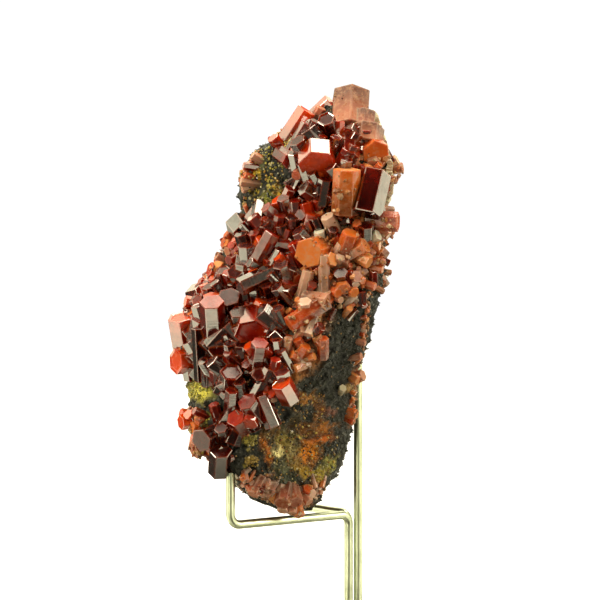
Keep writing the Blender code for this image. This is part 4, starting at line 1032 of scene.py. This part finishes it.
# After the four body colours comes the colour of the painted glow along the edges.
red_vanadinite = crystal_material(
    "vanadinite_deep_red", ("#200301", "#520802", "#A01A03", "#EC4C08"), "#D8500A", (0.04, 0.13), 0.4, 0.0
)
orange_vanadinite = crystal_material(
    "vanadinite_orange", ("#8A2608", "#C4480C", "#DC6C20", "#E89858"), "#ECA070", (0.14, 0.4), 0.3, 0.35
)
crusted_vanadinite = crystal_material(
    "vanadinite_crusted", ("#8A3C22", "#BA6C4C", "#D2987A", "#EAC6B0"), "#F4D8C0", (0.25, 0.55), 0.2, 0.5
)
cream_barite = crystal_material(
    "barite_cream", ("#B8A478", "#CCBE90", "#DCD0AC", "#ECE6D0"), "#F4EEDC", (0.25, 0.5), 0.1, 0.25
)


# The crust: earthy ochre crumbs, tan crystal chips and yellow-green flakes that cling to the
# rock's skin, and the fine dark needles that make the manganese oxide glitter.
NEEDLE_SIDES = 4
CREVICE = 0.25
CLINGING = 0.12
CROWN_PATCH = ((-8.0, 99.0), (-8.4, 108.0), (-5.0, 113.0), (0.5, 113.5), (0.5, 105.0), (-3.0, 99.5))
YELLOW_PATCH = (
    (-22.2, 56.2), (-22.4, 59.2), (-21.0, 60.8), (-19.4, 59.4), (-17.4, 60.4), (-16.6, 57.6), (-18.2, 56.6),
    (-19.4, 54.6), (-21.2, 55.6),
)
STAINED = (
    (-6.0, 49.0), (1.0, 57.0), (9.0, 57.0), (9.0, 48.5), (12.0, 47.0), (12.0, 41.0), (8.0, 36.5),
    (0.0, 36.5), (-5.5, 38.5),
)
CRUSTS = (
    (BAND, 1300, (0.25, 0.8), ("#C86A28", "#D88A48", "#E0A878", "#A0581C", "#ECCCA0", "#C88A4C")),
    (FOOT_RIM, 260, (0.2, 0.55), ("#B8703C", "#D09A70", "#A0522A", "#E0C0A0")),
    (RIGHT_RIM, 120, (0.2, 0.45), ("#B8702C", "#D8A060", "#8A4A1A")),
    (CROWN_LEFT, 130, (0.2, 0.55), ("#C8A030", "#B8702C", "#E0C890", "#6A7020")),
    (LOWER_LEFT, 160, (0.2, 0.6), ("#B04A14", "#C8B048", "#D8A060", "#6A2A10")),
    (STAINED, 520, (0.12, 0.38), ("#C89030", "#E8D8A0", "#B8702C", "#D8B850", "#8A6A2C", "#20221A")),
    (COAT, 500, (0.2, 0.6), ("#4A0E04", "#7A2008", "#A04A14", "#1A1A10", "#C88A50")),
    (OUTLINE, 700, (0.12, 0.32), ("#A8702C", "#C8A060", "#6A4A1C", "#2A2E20")),
    (YELLOW_PATCH, 100, (0.2, 0.5), ("#D8CC50", "#A8A838", "#8A8A30")),
    (((-19.8, 50.2), (-19.0, 53.2), (-17.6, 52.2), (-17.2, 50.4), (-18.4, 49.2)), 45, (0.2, 0.45), ("#D0C850", "#A0A038")),
    (((-9.0, 44.6), (-9.0, 47.6), (-6.2, 47.2), (-6.6, 44.8)), 60, (0.15, 0.4), ("#D8C860", "#B0A048")),
    (((-9.0, 39.8), (-9.2, 42.4), (-6.0, 42.2), (-6.2, 40.0)), 60, (0.15, 0.4), ("#D8B860", "#B09038")),
    (CROWN_PATCH, 240, (0.15, 0.5), ("#D8C848", "#A89A30", "#C89A38", "#2A3220", "#E0D8A0")),
    (((0.2, 112.6), (-0.6, 115.0), (2.0, 115.6), (2.8, 113.4)), 30, (0.2, 0.5), ("#F0E8C0", "#D8C050")),
)
grounds = [skin] + [BVHTree.FromBMesh(groups[kind]) for kind in ("orange", "tan")]
PIECES = (
    ("red_crystals", "red", red_vanadinite),
    ("orange_crystals", "orange", orange_vanadinite),
    ("crusted_crystals", "tan", crusted_vanadinite),
    ("barite_grains", "cream", cream_barite),
)
for name, kind, material in PIECES:
    piece = finished_object(name, groups[kind], material)
bpy.data.meshes.remove(one_crystal)
chip = bpy.data.meshes.new("chip")
crust_bm = bmesh.new()
crust_bm.verts.layers.float_color.new("shade")
for region, count, sizes, palette in CRUSTS:
    shades = [linear(colour) for colour in palette]
    low_x, high_x = min(x for x, _ in region), max(x for x, _ in region)
    low_z, high_z = min(z for _, z in region), max(z for _, z in region)
    tries = 0
    while count and tries < 20000:
        tries += 1
        x, z = chance.uniform(low_x, high_x), chance.uniform(low_z, high_z)
        if not inside(region, x, z):
            continue
        sight = (Vector((x, 0.0, z)) - EYE).normalized()
        reached = [ground.ray_cast(EYE, sight) for ground in grounds]
        reached = [found for found in reached if found[0]]
        if not reached:
            continue
        on_top = chance.random() < CLINGING
        spot, normal, _, _ = min(reached, key=lambda found: found[3]) if on_top else reached[0]
        size = chance.uniform(*sizes) * chance.uniform(0.6, 1.0)
        if not within_outline(spot, size) or rod_distance(spot) < size + 1.4:
            continue
        bm = bmesh.new()
        shade_layer = bm.verts.layers.float_color.new("shade")
        bmesh.ops.create_icosphere(bm, subdivisions=1, radius=size)
        turned = Matrix.Rotation(chance.uniform(0.0, math.tau), 3, normal)
        stretch = Vector(chance.uniform(0.6, 1.3) for _ in range(3))
        shade = shades[chance.randrange(len(shades))]
        light = chance.uniform(0.6, 1.15)
        for vert in bm.verts:
            grown = vert.co * chance.uniform(0.75, 1.2)
            grown = turned @ Vector(a * b for a, b in zip(grown, stretch))
            vert.co = spot + grown + normal * CREVICE * size
            vert[shade_layer] = (*(light * c for c in shade[:3]), 1.0)
        bm.to_mesh(chip)
        bm.free()
        crust_bm.from_mesh(chip)
        count -= 1

crust = bpy.data.materials.new("ochre_crust")
crust.use_nodes = True
tree = crust.node_tree
shader = tree.nodes["Principled BSDF"]
place = add_node(tree, "ShaderNodeTexCoord").outputs["Object"]
shade = add_node(tree, "ShaderNodeAttribute", attribute_name="shade").outputs["Color"]
dust = add_node(
    tree, "ShaderNodeTexNoise", {"Vector": place, "Scale": 1.0 / (0.5 * MM), "Detail": 3.0, "Roughness": 0.6}
)
dusty = add_node(
    tree, "ShaderNodeMapRange", {"Value": dust.outputs["Fac"], "From Min": 0.3, "From Max": 0.7, "To Min": 0.5, "To Max": 1.2}
)
earthy_colour = add_node(
    tree, "ShaderNodeMix", {"Factor": 1.0, "A": shade, "B": dusty.outputs["Result"]},
    data_type="RGBA", blend_type="MULTIPLY",
)
tree.links.new(earthy_colour.outputs["Result"], shader.inputs["Base Color"])
shader.inputs["Roughness"].default_value = 0.45
shader.inputs["IOR"].default_value = 1.7
ochre_crust = finished_object("ochre_crust", crust_bm, crust)

NEEDLES = 5600
NEEDLE_RADIUS = (0.08, 0.17)
NEEDLE_LENGTH = (0.2, 0.45)
needle_bm = bmesh.new()
needle_bm.verts.layers.float_color.new("stain")
low, high = MATRIX_MIDDLE - MATRIX_REACH, MATRIX_MIDDLE + MATRIX_REACH
for _ in range(NEEDLES):
    guess = Vector(chance.uniform(a, b) for a, b in zip(low, high))
    spot, normal, _, _ = skin.find_nearest(guess)
    length = chance.uniform(*NEEDLE_LENGTH)
    axis = (normal + Vector(chance.uniform(-0.7, 0.7) for _ in range(3))).normalized()
    spot_stain = stain_at(spot) if spot.y < 4.0 else (0.0, 0.0, 0.0, 0.0)
    if rod_distance(spot) < length + 1.4 or chance.random() < 1.3 * spot_stain[3]:
        continue
    bm = bmesh.new()
    bmesh.ops.create_cone(
        bm, cap_ends=True, segments=NEEDLE_SIDES, radius1=chance.uniform(*NEEDLE_RADIUS), radius2=0.02, depth=length
    )
    lie = axis.to_track_quat("Z", "Y").to_matrix().to_4x4()
    bmesh.ops.transform(bm, matrix=Matrix.Translation(spot + axis * 0.35 * length) @ lie, verts=bm.verts)
    stain_layer = bm.verts.layers.float_color.new("stain")
    for vert in bm.verts:
        vert[stain_layer] = spot_stain
    bm.to_mesh(chip)
    bm.free()
    needle_bm.from_mesh(chip)
bpy.data.meshes.remove(chip)
needle = bpy.data.materials.new("manganese_needles")
needle.use_nodes = True
tree = needle.node_tree
shader = tree.nodes["Principled BSDF"]
place = add_node(tree, "ShaderNodeTexCoord").outputs["Object"]
tint = add_node(tree, "ShaderNodeTexNoise", {"Vector": place, "Scale": 1.0 / (2.5 * MM), "Detail": 2.0})
sooty = add_node(tree, "ShaderNodeValToRGB", {"Fac": tint.outputs["Fac"]})
sooty.color_ramp.elements[0].position = 0.4
sooty.color_ramp.elements[0].color = linear("#0C0D05")
sooty.color_ramp.elements[1].position = 0.65
sooty.color_ramp.elements[1].color = linear("#36381B")
stain = add_node(tree, "ShaderNodeAttribute", attribute_name="stain")
rusty = add_node(
    tree, "ShaderNodeMix",
    {"Factor": stain.outputs["Alpha"], "A": sooty.outputs["Color"], "B": stain.outputs["Color"]},
    data_type="RGBA",
)
tree.links.new(rusty.outputs["Result"], shader.inputs["Base Color"])
shader.inputs["Roughness"].default_value = 0.22
shader.inputs["IOR"].default_value = 2.0
manganese_needles = finished_object("manganese_needles", needle_bm, needle)


# The barite blade: a cream plate seen edge-on down the right edge of the crown, bent and
# broken along its rim.
BLADE_LINE = (
    (20.1, 121.0),
    (21.3, 118.0),
    (22.3, 115.0),
    (23.3, 111.8),
    (24.1, 108.2),
    (24.3, 104.6),
    (23.8, 101.2),
    (22.6, 98.6),
    (20.6, 97.6),
)
BLADE_THICKNESS = 1.3
BLADE_FRONT = -8.5
BLADE_BACK = 2.0
BLADE_STEPS = 110
BLADE_ROWS = 44
TAPER = 0.85
RAG_REACH = 3.6
FOLD_HEIGHT = 0.5
blade_bm = bmesh.new()
blade_bm.verts.layers.float.new("tone")
blade_bm.verts.layers.float.new("along")
blade_bm.verts.layers.float.new("share")
bmesh.ops.create_grid(blade_bm, x_segments=BLADE_STEPS, y_segments=BLADE_ROWS, size=1.0)
blade_middle = (BLADE_FRONT + BLADE_BACK) / 2.0
for vert in blade_bm.verts:
    place = (vert.co.x + 1.0) / 2.0 * (len(BLADE_LINE) - 1.001)
    index = int(place)
    half_width = (BLADE_BACK - blade_middle) * (1.0 - TAPER * vert.co.x**4)
    near = [Vector(BLADE_LINE[min(max(index + step, 0), len(BLADE_LINE) - 1)]) for step in (-1, 0, 1, 2)]
    x, z = (curve_value(*(point[axis] for point in near), place - index) for axis in range(2))
    vert.co = (x, blade_middle + half_width * vert.co.y, z)
bmesh.ops.recalc_face_normals(blade_bm, faces=blade_bm.faces)
bmesh.ops.solidify(blade_bm, geom=blade_bm.faces[:], thickness=BLADE_THICKNESS)
bmesh.ops.recalc_face_normals(blade_bm, faces=blade_bm.faces)
for vert in blade_bm.verts:
    reach = (vert.co.y - blade_middle) / (BLADE_BACK - blade_middle)
    torn = noise.fractal(Vector((3.0 * math.copysign(1.0, reach), 7.0, vert.co.z / 2.6)), 1.0, 2.0, 3)
    vert.co.y -= RAG_REACH * reach * abs(reach) * (0.25 + 0.75 * abs(torn))
    fold = noise.fractal(Vector((0.0, vert.co.y / 2.2, vert.co.z / 2.2)), 1.0, 2.0, 3)
    vert.co.x += FOLD_HEIGHT * fold
    vert[blade_bm.verts.layers.float["tone"]] = 0.7
    vert[blade_bm.verts.layers.float["along"]] = vert.co.y
    # share 0.8 keeps the blade clear of the painted root shade.
    vert[blade_bm.verts.layers.float["share"]] = 0.8
barite_blade = finished_object("barite_blade", blade_bm, cream_barite)


# The easel: three lengths of 2 mm round wire, nickel plated, bent cold and brought together
# at the back of the specimen. Two end in upturned hooks, and the third props the rock.
BEND_RADIUS = 2.4
BEND_STEPS = 14
ROD_FOOT = 1.3
nickel = bpy.data.materials.new("nickel_plated_wire")
nickel.use_nodes = True
tree = nickel.node_tree
shader = tree.nodes["Principled BSDF"]
shader.inputs["Metallic"].default_value = 1.0
place = add_node(tree, "ShaderNodeTexCoord").outputs["Object"]
tarnish = add_node(
    tree, "ShaderNodeTexNoise", {"Vector": place, "Scale": 1.0 / (6.0 * MM), "Detail": 5.0, "Roughness": 0.6}
)
plating = add_node(tree, "ShaderNodeValToRGB", {"Fac": tarnish.outputs["Fac"]})
plating.color_ramp.elements[0].position = 0.35
plating.color_ramp.elements[0].color = linear("#C4CDB0")
plating.color_ramp.elements[1].position = 0.65
plating.color_ramp.elements[1].color = linear("#E0E8D0")
tree.links.new(plating.outputs["Color"], shader.inputs["Base Color"])
drawn = add_node(tree, "ShaderNodeMapping", {"Vector": place, "Scale": (1.0, 1.0, 0.08)})
scratches = add_node(
    tree, "ShaderNodeTexNoise", {"Vector": drawn.outputs[0], "Scale": 1.0 / (0.25 * MM), "Detail": 3.0}
)
polish = add_node(
    tree, "ShaderNodeMapRange",
    {"Value": scratches.outputs["Fac"], "From Min": 0.3, "From Max": 0.7, "To Min": 0.28, "To Max": 0.38},
)
tree.links.new(polish.outputs["Result"], shader.inputs["Roughness"])
fine = add_node(
    tree, "ShaderNodeBump", {"Strength": 0.1, "Distance": 0.02 * MM, "Height": scratches.outputs["Fac"]}
)
tree.links.new(fine.outputs["Normal"], shader.inputs["Normal"])


def bent_path(points):
    """A path through right-angled corners, each rounded to the bend radius."""
    path = [points[0]]
    for before, corner, after in zip(points, points[1:], points[2:]):
        arriving = (corner - before).normalized()
        leaving = (after - corner).normalized()
        centre = corner + (leaving - arriving) * BEND_RADIUS
        for step in range(BEND_STEPS + 1):
            angle = 0.5 * math.pi * step / BEND_STEPS
            from_centre = arriving * math.sin(angle) - leaving * math.cos(angle)
            path.append(centre + from_centre * BEND_RADIUS)
    path.append(points[-1])
    return path


def arm_path(post, toe):
    foot = Vector((*post, ROD_FOOT))
    elbow = Vector((*post, ARM_HEIGHT))
    return bent_path([foot, elbow, Vector((*toe, ARM_HEIGHT)), Vector((*toe, HOOK_TOP))])


WIRES = (
    ("near_arm_wire", "near_arm", arm_path(NEAR_POST, near_toe)),
    ("far_arm_wire", "far_arm", arm_path(FAR_POST, far_toe)),
    ("back_rod_wire", "back_rod", [Vector((*BACK_POST, ROD_FOOT)), Vector((*BACK_POST, BACK_ROD_TOP))]),
)
for name, node_name, path in WIRES:
    curve = bpy.data.curves.new(name, "CURVE")
    curve.dimensions = "3D"
    curve.bevel_depth = ROD_RADIUS * MM
    curve.bevel_resolution = 8
    curve.use_fill_caps = True
    spline = curve.splines.new("POLY")
    spline.points.add(len(path) - 1)
    for target, point in zip(spline.points, path):
        target.co = (*(point * MM), 1.0)
    spline.use_smooth = True
    curve.materials.append(nickel)
    wire = bpy.data.objects.new(name, curve)
    bpy.context.scene.collection.objects.link(wire)
    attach(wire, "root")
    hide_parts(node_name)


# The base plate: 5 mm steel bar cut to a rounded rectangle and brushed along its length.
# The rods stand in drilled sockets.
steel = bpy.data.materials.new("brushed_plate_steel")
steel.use_nodes = True
tree = steel.node_tree
shader = tree.nodes["Principled BSDF"]
shader.inputs["Metallic"].default_value = 0.6
place = add_node(tree, "ShaderNodeTexCoord").outputs["Object"]
stretched = add_node(tree, "ShaderNodeMapping", {"Vector": place, "Scale": (0.03, 1.0, 1.0)})
brushed = add_node(
    tree, "ShaderNodeTexNoise", {"Vector": stretched.outputs[0], "Scale": 1.0 / (0.3 * MM), "Detail": 4.0}
)
sheen = add_node(tree, "ShaderNodeValToRGB", {"Fac": brushed.outputs["Fac"]})
sheen.color_ramp.elements[0].color = linear("#8C8C86")
sheen.color_ramp.elements[1].color = linear("#A8A8A2")
tree.links.new(sheen.outputs["Color"], shader.inputs["Base Color"])
satin = add_node(
    tree, "ShaderNodeMapRange",
    {"Value": brushed.outputs["Fac"], "From Min": 0.3, "From Max": 0.7, "To Min": 0.26, "To Max": 0.42},
)
tree.links.new(satin.outputs["Result"], shader.inputs["Roughness"])
grooves = add_node(
    tree, "ShaderNodeBump", {"Strength": 0.25, "Distance": 0.02 * MM, "Height": brushed.outputs["Fac"]}
)
tree.links.new(grooves.outputs["Normal"], shader.inputs["Normal"])
base_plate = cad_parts["base_plate"]
base_plate.data.materials.clear()
base_plate.data.materials.append(steel)
